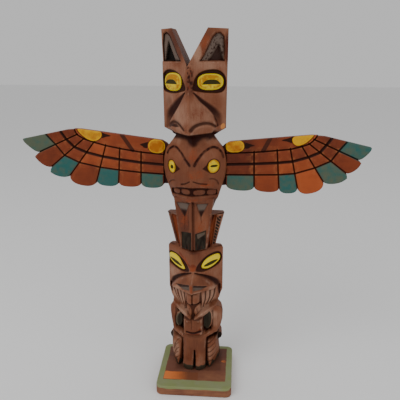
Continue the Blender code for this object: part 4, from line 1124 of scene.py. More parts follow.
# ---------------------------------------------------------------- crouching body
@dataclass
class CrouchingBody(Figure):
    """The lowest figure: hunched arms, a small block face, belly, legs and limbs."""

    foot: float
    top: float = 67.4
    axis: float = 1.3  # the belly and feet are carved off the upright's axis
    trunk_top: float = 61.0
    trunk: Rows = (  # height, half-width, front
        (9, 21.2, 1.0), (24, 21.0, 2.0), (40, 19.4, 3.0), (61, 19.0, 3.0),
    )
    trunk_side: float = 17.0  # depth at the trunk's corners
    flat: float = 7.0  # half-width of its level front
    belly: Rows = (  # height, half-width, front
        (9, 10.2, -8.2), (13, 10.4, -8.6), (17, 10.0, -6.8), (30, 10.2, -6.0), (39, 10.6, -4.6),
        (44, 9.0, -1.0),
    )
    masses: tuple[tuple[Line, ...], ...] = (  # left and right: arm, knee and limb by height and reach
        (((39.9, 0), (40, 18.9), (50, 21.6), (58, 22.8), (63, 22.9), (65.4, 21.4), (66, 19.6), (66.01, 0)),
         ((29.2, 0), (29.8, 21.4), (31.4, 22.9), (34.4, 23.3), (36.4, 22), (37.2, 0)),
         ((9, 21.4), (18, 21.7), (27, 21.3), (36, 20.6), (36.01, 0))),
        (((40.9, 0), (41, 21.2), (46, 23.8), (52, 25.2), (60, 25.4), (63.2, 24.4), (66, 21.6),
          (67.4, 19.2), (67.41, 0)),
         ((30.8, 0), (31.6, 22), (33.4, 24.4), (36, 25.3), (38.6, 24.4), (40.4, 21.6), (40.8, 0)),
         ((9, 21.6), (13.5, 22.6), (18, 22.6), (24, 22.3), (34, 21.9), (36, 21.2), (36.01, 0))),
    )
    arms: tuple[Line, Line] = (
        ((-15.0, 60.0), (-17.0, 65.6), (-21.2, 65.6), (-23.4, 61.6), (-22.2, 51.8), (-19.6, 40.0),
         (-16.4, 41.0), (-16.6, 47.0), (-17.2, 53.0)),
        ((14.2, 60.0), (15.6, 67.0), (20.4, 67.6), (24.6, 63.6), (26.0, 58.0), (25.4, 50.0),
         (22.6, 41.0), (16.2, 40.4), (15.4, 47.0), (15.8, 54.0)),
    )
    limb: Rows = (
        (20.6, 5.5, 36.0), (22.0, 12.0, 34.0), (22.4, 13.0, 18.0), (19.4, 12.0, 4.0), (18.6, 0.6, 20.0),
        (21.6, 20.4, 34.0), (21.0, 20.2, 4.0), (7.2, 9.3, 4.0), (6.4, 9.8, 33.0),
    )
    knees: tuple[Oval, Oval] = (Oval(-21.6, 33.4, 2.6, 3.9), Oval(23.2, 35.6, 2.9, 4.6))
    discs: tuple[Oval, Oval] = (Oval(-13.3, 53.2, 3.4, 7.0, -4), Oval(12.9, 54.6, 3.9, 9.4, -6))
    block: Row = (0.65, 52.2, 8.15, 7.8)  # x, z and half sizes
    tints: Rows = (
        (20.5, 54, 5, 9, 0.42), (-17, 24, 5, 9, 0.55), (16.5, 23, 5, 9, 0.4), (7, 19, 4, 7, 0.3),
        (-15, 40, 6, 3, 0.16), (15, 40.5, 6, 3, 0.1), (1, 33, 9, 6, -0.08),
    )

    def half_width(self, z: Grid, side: int) -> Grid:
        """The widest of trunk, arm, knee and side limb at a height."""
        parts = [stations(z, rows)[0] for rows in (self.trunk, *self.masses[side > 0])]
        return np.where(z > self.top, 0.0, np.max(parts, axis=0))

    def rough_out(self) -> None:
        """Trunk, a rounded belly that ends in two feet, centre block and both sides."""
        wood, x, z = self.wood, self.wood.x, self.wood.z
        offset = np.abs(x - self.axis)
        half, front = stations(z, self.trunk)
        slope = (self.trunk_side - front) / (half - self.flat)
        trunk = front + slope * np.maximum(offset - self.flat, 0.0)
        wood.add(np.minimum(trunk, 18.0), z - self.trunk_top, 0.5)
        half, front = stations(z, self.belly)
        shoulder = 3.0 * ease((offset / half - 0.55) / 0.45)
        wood.add(front + shoulder, np.maximum(offset - half, z - self.belly[-1][0]), 1.0, 0.5)
        middle, height, wide, high = self.block
        block = np.maximum(np.abs(x - middle) - wide, np.abs(z - height) - high)
        wood.add(-8.4 + 0.02 * (x - middle) ** 2, block, 0.9, 0.4)
        for side in (-1, 1):
            self.add_side(side)

    def add_side(self, side: int) -> None:
        """One side's arm, forearm, limb, knee disc and shoulder disc.

        Args:
            side: -1 for the left and 1 for the right.
        """
        wood, x, z = self.wood, self.wood.x, self.wood.z
        out = np.maximum(np.abs(x) - 15.0, 0.0)
        arm = wood.curve(self.arms[side > 0])
        wood.add(4.6 + 0.075 * out**2 + 0.006 * (z - 53.0) ** 2, arm, 2.2)
        forearm = []
        for px, py, pz in ((21.6, 7.6, 43.2), (9.0, -2.4, 39.0)):
            forearm += [(px, py, pz + 2.2), (px, py, pz - 1.6)]
            forearm += [(px - 2.7, py + 7, pz + 3.1), (px - 2.3, py + 7, pz - 3.4)]
        wood.add(*hewn(x, z, mirrored(side, forearm), 0.6), edge=1.0)
        inner = ((11.5 + side, 0.5, 34.0), (14.0 + side, -2.4, 4.0), (14.0 + side, -3.6, 14.0))
        wood.add(*hewn(x, z, mirrored(side, (*inner, *self.limb)), 0.9), edge=1.2)
        knee = wood.oval(self.knees[side > 0])
        wood.add(10.4, knee, 0.9)
        wood.coat(Paint.BLACK, knee + 1.0)
        wood.coat(Paint.GREY, np.abs(knee + 0.5) - 0.4)
        wood.add(2.8, wood.oval(self.discs[side > 0]), 0.9)

    def carve(self) -> None:
        """Discs, block face, leg slit, toes and the ridges of the side limbs."""
        for cut in (self.paint_discs, self.cut_block, self.cut_legs, self.cut_limbs):
            cut()

    def paint_discs(self) -> None:
        """Black faces on the discs in the crook of each arm, the left one's rim grey."""
        wood, first = self.wood, self.discs[0]
        for disc, shift in zip(self.discs, (0.35, -0.3)):
            face = wood.oval(replace(disc, x=disc.x + shift, half_x=disc.half_x - 0.4))
            wood.sink(face, 0.5, 0.8)
            wood.coat(Paint.BLACK, np.where(wood.depth < 1.6, FAR, face))
            wood.fade_in(face < 0.5, 0.85 - 0.3 * near(wood.x - disc.x, 1.6))
        crescent = np.maximum(wood.oval(first) + 0.3, -wood.oval(replace(first, x=first.x + 1.5)))
        wood.keep_off(Paint.BLACK, crescent)
        wood.coat(Paint.GREY, crescent)
        upright = ease((wood.z - 44.0) / 3) * ease((66.0 - wood.z) / 3) * ease((wood.depth - 3.0) / 2)
        for x in (-16.8, 17.0):
            wood.stain(0.7 * near(wood.x - x, 1.8) * upright)

    def cut_block(self) -> None:
        """A nose line and a slit of a mouth on the centre block, and shade round it."""
        wood = self.wood
        wood.groove(((-0.3, 59.0), (-0.1, 50.6)), 0.7, 0.6, 0.5, straight=True)
        wood.groove(((-4.6, 47.2), (1.6, 46.6), (7.4, 48.4)), (1.1, 1.4), 1.3, 1.0)
        for smear in (Oval(1.4, 45.2, 6.4, 0.9, 4), Oval(7.2, 49.6, 1.4, 2.2)):
            wood.coat(Paint.RED, wood.oval(smear) + 0.1)
        for z, half, wide, dark in ((44.0, 1.9, 9.8, 0.85), (60.4, 2.0, 9.6, 0.7)):
            wood.stain(dark * near(wood.z - z, half) * ease((wide - np.abs(wood.x - 0.6)) / 2))
        for x in (-8.4, 9.7):
            beside = near(wood.x - x, 1.5) * ease((wood.z - 44) / 2) * ease((62 - wood.z) / 2)
            wood.stain(0.8 * beside)

    def cut_legs(self) -> None:
        """A slit between the feet, and toes dipped in black."""
        wood, foot = self.wood, self.foot - 3
        gap = wood.shape(((0.8, foot), (3.4, foot), (2.4, 27.6), (1.7, 27.6)))
        wood.sink(gap, 6.0, 0.8)
        wood.stain(ease(0.7 - gap / 0.7))
        low = (wood.z - 14.0) + 0.6 * wood.noise(2.2, 2.2, 21)
        wood.coat(Paint.BLACK, np.maximum(low, np.abs(wood.x - self.axis - 0.8) - 10.6) + 0.2)
        wood.fade_in(low < 0.5, 0.95)
        for x in (-9.6, 12.4):
            wood.stain(0.85 * near(wood.x - x, 1.7) * ease((40.0 - wood.z) / 3))
        chips = ease(1.6 * wood.noise(1.9, 1.5, 23) - 0.2)
        wood.coat(Paint.RED, 0.9 - 1.2 * chips * wood.spot(7.2, 16.5, 4.0, 3.4))

    def cut_limbs(self) -> None:
        """Slanting notches on the right limb, long ridges on the left one."""
        wood, out = self.wood, np.abs(self.wood.x - self.axis)
        for i in range(5):
            x, z = 12.4 + 0.6 * i, 31.6 - 4.2 * i
            wood.groove(((x, z), (x + 2.6, z + 0.6), (x + 6.4, z + 3.6)), (1.0, 0.5), 1.2, 0.55)
        for i in range(6):
            x, z = -13.2 - 0.9 * (i % 2), 33.6 - 4.0 * i
            wood.groove(((x, z), (x - 2.6, z - 2.6), (x - 4.6, z - 7.0)), (0.5, 0.9), 1.0, 0.5)
        nicks = wood.noise(1.2, 1.6, 24)
        on_limb = near(np.abs(wood.x) - 17.0, 5.0) * near(wood.z - 22.0, 12.0)
        wood.lower(0.35 * nicks * on_limb)
        wood.coat(Paint.RED, 0.5 - 1.3 * ease(1.7 * nicks - 0.9) * on_limb)
        # painted contact shade at the foot of the side limbs, where they meet the base
        wood.stain(near(wood.z - self.foot, 3.2) * ease((out - 11) / 3))
        claws = (wood.z - 13.0) + 2.2 * np.sin(1.7 * wood.x)
        wood.coat(Paint.BLACK, np.maximum(claws, 11.6 - out))
        wood.stain(0.42 * wood.spot(-17.5, 25.0, 6.0, 12.0))


# ---------------------------------------------------------------- meshes
class WrappedMesh:
    """Collects grids of points and the faces between them, in millimetres."""

    def __init__(self) -> None:
        """Start with nothing."""
        self.points: list[Grid] = []
        self.faces: list[Grid] = []
        self.count = 0

    def add(self, grid: Grid) -> Grid:
        """Add a grid of points.

        Args:
            grid: the points, by row and column.

        Returns:
            Their numbers, by row and column.
        """
        rows, columns = grid.shape[:2]
        self.points.append(grid.reshape(-1, 3))
        ids = self.count + np.arange(rows * columns).reshape(rows, columns)
        self.count += rows * columns
        return ids

    def quads(self, ids: Grid, wrap: bool = False, flip: bool = False) -> None:
        """Join a grid's neighbours by quads, facing the viewer who sees rows rise.

        Args:
            ids: the points' numbers, by row and column.
            wrap: whether the last column joins the first.
            flip: whether the quads face the other way.
        """
        if wrap:
            ids = np.hstack((ids, ids[:, :1]))
        corners = (ids[:-1, :-1], ids[:-1, 1:], ids[1:, 1:], ids[1:, :-1])
        quads = np.stack(corners, axis=-1).reshape(-1, 4)
        self.faces.append(quads[:, ::-1] if flip else quads)

    def triangles(self, corners: Grid) -> None:
        """Add triangles, written as quads whose last two corners are one."""
        self.faces.append(np.column_stack((corners, corners[:, 2])))

    def finish(self, name: str, axis: float) -> bpy.types.Object:
        """Make the object, its origin at the frame's and its place in its mesh.

        Args:
            name: what the object is called.
            axis: x of the axis that the points were measured from, in metres.

        Returns:
            The object, linked to the scene.
        """
        points = np.vstack(self.points) * MM + np.array((axis, 0.0, 0.0))
        faces = np.vstack(self.faces)
        three = faces[:, 2] == faces[:, 3]
        listed = faces[~three].tolist() + faces[three, :3].tolist()
        mesh = bpy.data.meshes.new(name)
        mesh.from_pydata(points.tolist(), [], listed)
        mesh.update()
        mesh.shade_smooth()
        item = bpy.data.objects.new(name, mesh)
        bpy.context.scene.collection.objects.link(item)
        return item

    @staticmethod
    def attribute(item: bpy.types.Object, name: str, *parts: Grid) -> None:
        """Store one number a point for the materials to read.

        Args:
            item: the object.
            name: what the materials call the number.
            parts: its values, in the order of the points.
        """
        values = np.concatenate([part.ravel() for part in parts])
        layer = item.data.attributes.new(name, "FLOAT", "POINT")
        layer.data.foreach_set("value", values.astype(np.float32))


def ring_of(grid: Grid) -> Grid:
    """A grid's border as one ring: top row, last column, bottom row, first column."""
    return np.concatenate((grid[0, :-1], grid[:-1, -1], grid[-1, :0:-1], grid[:0:-1, 0]))


# ---------------------------------------------------------------- upright
@dataclass
class Upright:
    """The carved pole as one closed skin: front, sides, back, top and foot.

    Rings of points run round the wood at rising heights. The top follows the notch
    between the ears, so there the rings rise only as far as the wood does.
    """

    low: Vector
    high: Vector
    columns: int = 132
    stride: int = 6  # front columns to one column of the plain back
    taper: float = 1.5
    slot_half: float = 22.0
    slot: Row = (13.2, 19.8, 177.7, 216.5)  # front, rear, low, high
    core: Point = (13.2, 0.55)  # a width, and its share of the columns
    notch_low: float = 273.0  # from here up the rows follow the notch
    bands: Line = ((62.0, 0.48), (122.0, 0.56), (168.0, 0.54), (273.0, 0.6))  # start, row height
    first_row: float = 0.5
    ledges: Row = (36.0, 40.0, 66.0, 67.4, 121.0, 152.4, 153.6, 220.5, 280.0)
    side_shares: Row = (0.0, 0.12, 0.34, 0.38, 0.62, 0.66, 0.9, 1.0)
    corner_round: float = 0.8
    top_round: float = 0.7
    levels: Line = (  # height, how pale the wood is there
        (9, 0.36), (38, 0.34), (44, 0.36), (60, 0.34), (70, 0.62), (95, 0.62), (119, 0.45), (124, 0.24),
        (166, 0.26), (174, 0.32), (200, 0.36), (219, 0.45), (227, 0.62), (305, 0.60),
    )
    hidden_tone: float = 0.2

    def __post_init__(self) -> None:
        """Place the figures between the frame's own foot and top."""
        self.axis = (self.low.x + self.high.x) / 2
        self.foot, self.top, self.back = self.low.z / MM, self.high.z / MM, self.high.y / MM
        self.ears, self.head = TailAndEars(), BirdHead(self.top)
        self.figures = (CrouchingBody(self.foot), LowerHead(), self.ears, SecondFigure(), self.head)

    def heights(self) -> Grid:
        """Row heights, closer together where the carving is finest.

        Where the outline steps in or out, two rows lie almost together.
        """
        stops = ((self.foot, self.first_row), *self.bands, (self.top, 0.0))
        rows = [np.arange(a, b - 0.2, step) for (a, step), (b, _) in zip(stops, stops[1:])]
        pairs = [(z - 0.03, z + 0.03) for z in self.ledges]
        rows = np.sort(np.concatenate(rows + pairs + [[self.top]]))
        return rows[np.append(np.diff(rows) > 0.05, True)]

    def rim(self, x: Grid) -> Grid:
        """How high the wood rises at a width: level, but for the ears' notch."""
        middle, apex, half = self.head.notch
        return np.minimum(self.top, apex + (self.top - apex) * np.abs(x - middle) / half)

    def front_grid(self) -> tuple[Grid, Grid, Grid, Grid]:
        """Lay out the front.

        Inside the core a column keeps its width at every height, and outside it the
        columns share what is left up to the outline.

        Returns:
            Widths and heights of the grid points, and each row's reach to the left and right.
        """
        heights = self.heights()
        left, right = (
            np.max([figure.half_width(heights, side) for figure in self.figures], axis=0)
            for side in (-1, 1)
        )
        core, share = self.core
        middle, _, notch = self.head.notch
        knots = []
        for x in (-left[-1], middle - notch, middle, middle + notch, right[-1]):
            widest = left[-1] if x < 0 else right[-1]
            past = share + (1 - share) * (abs(x) - core) / (widest - core)
            knots.append(math.copysign(abs(x) * share / core if abs(x) < core else past, x))
        step = self.stride * np.array((0, 4, 10, 16, 22))
        across = np.interp(np.arange(self.columns + 1), step, knots)[None, :]
        half = np.where(across < 0, left[:, None], right[:, None])
        past = core + (np.abs(across) - share) / (1 - share) * (half - core)
        x = np.sign(across) * np.where(np.abs(across) < share, np.abs(across) * core / share, past)
        start, rows = self.notch_low, heights[:, None] + 0.0 * x
        rising = np.clip((rows - start) / (self.top - start), 0.0, 1.0)
        return x, np.where(rows > start, start + rising * (self.rim(x) - start), rows), left, right

    def carve(self) -> tuple[Carving, Grid, Grid, Grid]:
        """Carve the front.

        Returns:
            The carved front, each row's reach to the left and right, and the back's depth.
        """
        x, z, left, right = self.front_grid()
        foot, top, plane = self.ears.ear_foot, max(self.ears.ear_tops), self.ears.ear_back
        steps = ((foot, self.back), (foot + 1.5, plane), (top, plane), (top + 1.5, self.back))
        back = stations(z[:, 0], steps)[0]
        wood = Carving(x, z, np.repeat(back[:, None] - 1.0, x.shape[1], axis=1))
        wood.tone = wood.tone + stations(z, self.levels)[0]
        for figure in self.figures:
            figure.wood = wood
            figure.rough_out()
        for figure in self.figures:
            figure.carve()
            figure.colour()
        self.soften(wood, np.where(x < 0, left[:, None], right[:, None]))
        wood.depth = np.minimum(wood.depth, back[:, None] - 2.0)
        return wood, left, right, back

    def soften(self, wood: Carving, half: Grid) -> None:
        """Round the long corners and the top, and leave the knife's undulation.

        Args:
            wood: the carved front.
            half: how far the wood reaches at each point, on its side.
        """
        wood.lower(quarter_round(self.corner_round - half + np.abs(wood.x), self.corner_round))
        wood.lower(quarter_round(self.top_round - self.rim(wood.x) + wood.z, self.top_round))
        wood.depth = blur(wood.depth, 0.55)
        wood.lower(0.16 * wood.noise(3.4, 6.0, 1) + 0.09 * wood.noise(1.4, 3.1, 2))
        wood.lower(0.035 * wood.noise(0.8, 7.0, 3))

    def shade(self, wood: Carving) -> Grid:
        """Darken hollows and find the edges that stand out, from the relief itself.

        A point deeper than the mean of its neighbourhood is a hollow, and one that
        stands out of it is an edge.

        Args:
            wood: the carved front.

        Returns:
            How pale each point turns: wear on the edges, with painted highlight.
        """
        fine, broad = (wood.depth - blur(wood.depth, spread) for spread in (2.0, 5.0))
        hollow = np.clip(1.2 * fine, 0, 1) * 0.6 + np.clip(0.35 * broad, 0, 1) * 0.35
        wood.stain(hollow * (1.0 - wood.bright))
        # edges pale by wear and by painted highlight
        worn = np.clip(-1.5 * fine, 0, 1) * 0.6 + np.clip(-0.4 * broad, 0, 1) * 0.4
        return worn * (0.6 + 0.4 * wood.noise(1.8, 3.0, 33))

    def build(self) -> bpy.types.Object:
        """Wrap the carved front round to the sides and back, and close both ends."""
        wood, left_reach, right_reach, back = self.carve()
        wear = self.shade(wood)
        x, z, y = wood.x, wood.z, wood.depth
        rows, wide = x.shape
        inner = np.arange(self.columns, -1, -self.stride)
        half = np.where(x[:, inner] < 0, left_reach[:, None], right_reach[:, None])
        back_x = x[:, inner] * (1.0 - self.taper / half)
        uneven = 0.1 * (mottle(back_x, z[:, inner], 6.0, 9.0, 31) - 1.0)
        right = self.side_points(y[:, -1], right_reach, back, z[:, -1])[:, 1:-1]
        left = self.side_points(y[:, 0], left_reach, back, z[:, 0])[:, -2:0:-1]
        sides = right.shape[1]
        points = np.concatenate((
            np.dstack((x, y, z)),
            right,
            np.dstack((back_x, back[:, None] + uneven, z[:, inner])),
            left * (-1.0, 1.0, 1.0),
        ), axis=1)
        mesh = WrappedMesh()
        skin = mesh.add(points)
        mesh.quads(skin, wrap=True)
        for row, upward in ((rows - 1, True), (0, False)):
            self.cap(mesh, points[row], skin[row], (wide, sides), upward)
        item = mesh.finish("carved_upright", self.axis)
        plain = np.zeros((rows, points.shape[1] - wide))
        ends = np.zeros(mesh.count - points[..., 0].size)
        for paint, values in wood.paint.items():
            values = np.hstack((np.clip(values, -FAR, FAR), plain + FAR))
            mesh.attribute(item, paint.value, values, ends + FAR)
        for name, values in (("stained", wood.stained), ("wear", wear), ("faded", wood.faded)):
            mesh.attribute(item, name, np.hstack((values, plain)), ends)
        tone = np.hstack((wood.tone, stations(points[:, wide:, 2], self.levels)[0]))
        mesh.attribute(item, "tone", tone, ends + self.hidden_tone)
        return item

    def side_points(self, corner: Grid, half: Grid, back: Grid, z: Grid) -> Grid:
        """One side's points from the front corner to the back corner, a row each.

        The straight side is x = half - taper * share. Beside a wing the four middle
        points step in to form the slot that takes the board.

        Args:
            corner: depth of the front corner, row by row.
            half: how far each row reaches to this side.
            back: depth of the back.
            z: height of each row's corner.

        Returns:
            The points as (x, y, z), with x measured outwards.
        """
        y = corner[:, None] + (back - corner)[:, None] * np.array(self.side_shares)
        front, rear, low, high = self.slot
        housed = ((z > low) & (z < high))[:, None]
        stops = np.array((front, front + 0.05, rear - 0.05, rear))
        lips = np.clip(stops, (corner + 0.1)[:, None], (back - 0.5)[:, None])
        y[:, 2:6] = np.where(housed, lips, y[:, 2:6])
        y[:, 1] = np.minimum(y[:, 1], y[:, 2] - 0.02)
        x = half[:, None] - self.taper * (y - corner[:, None]) / (back - corner)[:, None]
        x[:, 3:5] = np.where(housed, np.minimum(x[:, 3:5], self.slot_half), x[:, 3:5])
        return np.dstack((x, y, np.repeat(z[:, None], y.shape[1], axis=1)))

    def cap(
        self, mesh: WrappedMesh, ring: Grid, ids: Grid, counts: tuple[int, int], upward: bool
    ) -> None:
        """Close one end: rows run from the front's edge to the plain back's edge.

        Each row between is a share of the way back, as the side points are, and the
        last one is joined to the wider-spaced back by fans of triangles.

        Args:
            mesh: where the points and faces go.
            ring: the points round this end.
            ids: their numbers.
            counts: how many of them lie along the front, and how many along a side.
            upward: whether the faces look up.
        """
        wide, sides = counts
        front, left = ring[:wide], ids[: -sides - 1 : -1]
        rows, back_ids = [ids[:wide]], ids[wide + sides : -sides][::-1]
        depth_back, corner = ring[wide + sides, 1], (front[0, 1] + front[-1, 1]) / 2
        for k in range(sides):
            share = (ring[wide + k, 1] - corner) / (depth_back - corner)
            inside = front[1:-1].copy()
            inside[:, 1] = inside[:, 1] + (depth_back - inside[:, 1]) * share
            widest = np.where(inside[:, 0] < 0, -front[0, 0], front[-1, 0])
            inside[:, 0] = inside[:, 0] * (1.0 - share * self.taper / widest)
            rows.append(np.concatenate(([left[k]], mesh.add(inside[None])[0], [ids[wide + k]])))
        mesh.quads(np.array(rows), flip=not upward)
        dense, step = rows[-1], self.stride
        starts, middles = np.arange(0, wide - 1), np.arange(step // 2, wide - 1, step)
        coarse = starts // step + (starts % step >= step // 2)
        fans = np.column_stack((dense[starts], dense[starts + 1], back_ids[coarse]))
        near_back = middles // step
        joins = np.column_stack((dense[middles], back_ids[near_back + 1], back_ids[near_back]))
        triangles = np.vstack((fans, joins))
        mesh.triangles(triangles if upward else triangles[:, ::-1])


# ---------------------------------------------------------------- wings
@dataclass(frozen=True)
class Quill:
    """One carved line between two feathers: where it springs, lean and length."""

    x: float
    z: float
    lean: float
    length: float

    def at(self, share: float) -> Point:
        """The point at a share of the line's length."""
        turn, reach = math.radians(self.lean), self.length * share
        return self.x + reach * math.sin(turn), self.z - reach * math.cos(turn)


@dataclass
class Wing:
    """A board carved as a wing: a painted band, two rows of coverts, seven feathers.

    The skin is laid out in the fan's own measure: s counts feathers outward from the
    upright and t runs from the band's line to the feather tips. Widths here are
    measured outward, and the left wing is turned over when the mesh is made.
    """

    name: str
    side: int
    quills: Rows  # x, z, lean and length of each
    far_tips: Line  # of the last three feathers, as near_tips
    faded: Row
    # these tones hold painted light: raised where a board is lit, and darker at the right board's root in
    # the upright's shadow
    eye_fades: Point
    cell_tone_and_light: Rows  # covert row, covert row, feather tips
    band_tone_and_light: Point
    eye: Oval
    wrist_eye: Line
    slash: Line
    near_tips: Line = ((4.0, 0), (3.7, 0), (4.2, 0), (6.8, 0))  # how far out, corner's share
    root: float = 22.3
    heel: float = 178.0
    front: float = 13.5
    thick: float = 6.0
    shoulder: Point = (34.5, 216.2)
    edge: float = 0.75
    seam: float = 1.2  # how far inside the first quill the seam runs
    columns: int = 22  # to a feather
    root_columns: int = 15
    band_rows: int = 15
    rows: tuple[int, int, int] = (22, 20, 30)
    covert_shares: tuple[Point, Point] = ((0.34, 0.011), (0.665, 0.017))  # first, less for each next

    def __post_init__(self) -> None:
        """Set out the quills and the feathers' tips."""
        self.fan = tuple(Quill(*quill) for quill in self.quills)
        self.tips = (*self.near_tips, *self.far_tips)
        self.feathers = len(self.tips)

    def top_edge(self) -> list[Point]:
        """The board's upper edge from the upright to the wrist."""
        wrist, (x, z) = self.fan[-1], self.shoulder
        start = [(self.root, 210.5), (x - 9.6, 213.2), (x - 5.5, 215.6), (x, z)]
        return start + [(wrist.x - 5.0, wrist.z), (wrist.x, wrist.z)]

    def covert(self, row: int) -> list[Point]:
        """The line below a covert row, from the seam to the last quill.

        Args:
            row: 0 or 1.

        Returns:
            The line's points.
        """
        first, step = self.covert_shares[row]
        (x, z), *points = [quill.at(first - step * i) for i, quill in enumerate(self.fan)]
        return [(x - self.seam, z), *points, (points[-1][0] + 0.6, points[-1][1] + 2.0)]

    def band_line(self) -> list[Point]:
        """The line below the painted band."""
        first, *rest = self.fan
        points = [(first.x - self.seam, first.z + 0.3)] + [(quill.x, quill.z) for quill in rest]
        return points + [(rest[-1].x - 0.4, rest[-1].z + 2.0)]

    def fan_grid(self) -> tuple[Grid, Grid]:
        """Lay out the grid.

        Between two quills a point is carried straight from the band's line to the
        chord of the feather's end, and past the coverts it moves out to the tip.

        Returns:
            The widths and heights, rows from the top edge down to the tips.
        """
        even = 0.5 - 0.5 * np.cos(np.linspace(0, math.pi, self.columns + 1))
        root = np.linspace(-1.0, 0.0, self.root_columns + 1)[:-1]
        feathers = [i + even[:-1] for i in range(self.feathers)]
        s = np.concatenate([root, *feathers, [float(self.feathers)]])
        springs = [(q.x, q.z) for q in self.fan]
        springs[-1] = (springs[-1][0] + 0.3, springs[-1][1] - 0.5)
        springs = np.array([(self.root, springs[0][1] - 0.3)] + springs)
        ends = np.array([(self.root, self.heel)] + [q.at(1.0) for q in self.fan])
        numbers = np.arange(-1, len(self.fan))
        spring, end = (
            np.stack([np.interp(s, numbers, line[:, k]) for k in (0, 1)]) for line in (springs, ends)
        )
        end[1] = np.where(s < 0, np.maximum(end[1], self.heel - 0.5 * ease(s * 2 + 1)), end[1])
        top = np.array(self.top_edge())
        top_x = np.where(s >= self.feathers, top[-1, 0], spring[0])
        high = np.stack((top_x, np.interp(top_x, top[:, 0], top[:, 1])))
        index = np.clip(np.floor(s).astype(int), 0, self.feathers - 1)
        out = self.tip_rise(s, index) * self.outward(ends)[index].T
        lead_run = ends[-1] - springs[-1]
        lead = np.array((-lead_run[1], lead_run[0])) / np.hypot(*lead_run)
        shares = [first - step * np.clip(s, 0, self.feathers) for first, step in self.covert_shares]
        stops = [np.zeros_like(s), *shares, np.ones_like(s)]
        even_rows = (0.5 - 0.5 * math.cos(math.pi * k / self.band_rows) for k in range(self.band_rows))
        grid = [high + (spring - high) * t for t in even_rows]
        for start, stop, rows in zip(stops, stops[1:], self.rows):
            for k in range(rows + (stop is stops[-1])):
                t = start + (stop - start) * (0.5 - 0.5 * math.cos(math.pi * k / rows))
                point = spring + (end - spring) * t
                point = point + out * np.clip((t - shares[1]) / (1 - shares[1]), 0, 1)
                swell = np.minimum(t / 0.14, (1 - t) / 0.86) * np.clip(s - 6, 0, 1) ** 3
                grid.append(point + lead[:, None] * 0.8 * swell)
        layout = np.array(grid)
        return layout[:, 0], layout[:, 1]

    def tip_rise(self, s: Grid, index: Grid) -> Grid:
        """How far a feather's end stands out of its chord.

        With c the share across the feather, a rounded tip stands out by
        (1 - |2c - 1|^2.6)^(1/1.8), and a pointed one by (1 - (1 - c)^2.2)^0.7, less
        its corner's loss, dropping back at the corner itself.

        Args:
            s: each column's place in the fan.
            index: the feather that it lies in.

        Returns:
            The distances.
        """
        across = np.clip(s - index, 0.0, 1.0)
        bulge, corner = np.array(self.tips)[index].T
        rounded = np.clip(1.0 - np.abs(2 * across - 1) ** 2.6, 0.0, 1.0) ** (1 / 1.8)
        pointed = (1.0 - (1.0 - across) ** 2.2) ** 0.7 * (1.0 - (1.0 - corner) * across**4)
        pointed = pointed * np.sqrt(np.minimum(1.0, (1.0 - across) / 0.04))
        return bulge * np.where(corner > 0, pointed, rounded) * (s > 0)

    def outward(self, ends: Grid) -> Grid:
        """The direction square to each feather's chord, from the ends of its quills."""
        chords = np.diff(ends[1:], axis=0)
        return np.stack((chords[:, 1], -chords[:, 0]), axis=1) / np.hypot(*chords.T)[:, None]

    def carve(self) -> tuple[Carving, Grid]:
        """Cut the lines, pillow the cells and lay the paint.

        Returns:
            The carved front, and the board's rounding at its edge.
        """
        x, z = self.fan_grid()
        wood = Carving(x, z, np.full(x.shape, self.front))
        border = np.column_stack((ring_of(x), ring_of(z)))
        rounding = quarter_round(self.edge + wood.shape(border), self.edge)
        seam = self.fan[0].x - self.seam
        lines = [([q.at(-0.02), q.at(1.06)], 0.85, 0.85) for q in self.fan[1:-1]]
        lines += [(self.band_line(), 0.9, 0.9), (self.covert(0), 1.6, 0.95), (self.covert(1), 1.0, 0.85)]
        lines += [([(seam, 214.0), (seam, self.heel - 2)], 1.3, 1.0)]
        gaps = [wood.groove(points, half, 1.05, dark, straight=True) for points, half, dark in lines]
        nearest = np.clip(np.min(gaps, axis=0), 0, 2.6)
        wood.lower(0.4 * (1.0 - ease(nearest / 2.6)))
        wood.lower(0.12 * (wood.noise(5.0, 5.0, 41) + 1.0) + 0.06 * (wood.noise(1.3, 4.2, 42) + 1.0))
        eyes = self.paint_band(wood)
        self.paint_tips(wood)
        for ring, share in zip(eyes, self.eye_fades):
            wood.fade_in(ring < 0.5, share * ease((-ring - 0.5) / 0.8))
        wood.faded = wood.faded + 0.3 * wood.noise(2.6, 2.6, 44)
        # painted shade along the root, where the board meets the upright
        wood.stain(0.8 * ease((self.fan[0].x - 0.6 - wood.x) / 1.6))
        return wood, rounding

    def paint_band(self, wood: Carving) -> tuple[Grid, Grid]:
        """Yellow eyes, black points and a grey slash on the band.

        Args:
            wood: the board's front.

        Returns:
            The signed distances to the two eyes.
        """
        eye, wrist = wood.oval(self.eye), wood.curve(self.wrist_eye)
        wood.sink(np.abs(eye) - 0.15, 0.25, 0.7)
        x, z = self.eye.x + self.eye.half_x, self.eye.z
        star = ((x - 2.6, z + 5.0), (x + 3.2, z + 3.0), (x + 10.4, z + 1.0), (x + 5.0, z - 0.4),
                (x + 4.4, z - 1.6), (x + 0.6, z - 2.4))
        x, z = np.min(self.wrist_eye, axis=0)[0], np.mean(self.wrist_eye, axis=0)[1]
        dart = ((x + 2.0, z + 3.4), (x - 3.0, z + 0.9), (x - 12.0, z - 1.6), (x - 4.6, z - 2.4),
                (x + 1.6, z - 4.4))
        clear = 0.3 - np.minimum(eye, wrist)
        for ring, corners in ((eye, star), (wrist, dart)):
            wood.coat(Paint.YELLOW, ring)
            wood.coat(Paint.BLACK, np.maximum(wood.shape(corners), clear) + 0.25)
        wood.stain(0.85 * near(wrist - 0.35, 0.9) + 0.8 * near(eye - 0.3, 0.7))
        distance = path_distance(wood.x, wood.z, self.slash)[0]
        wood.coat(Paint.GREY, distance - 1.75)
        wood.lower(0.3 * near(distance, 2.0))
        return eye, wrist

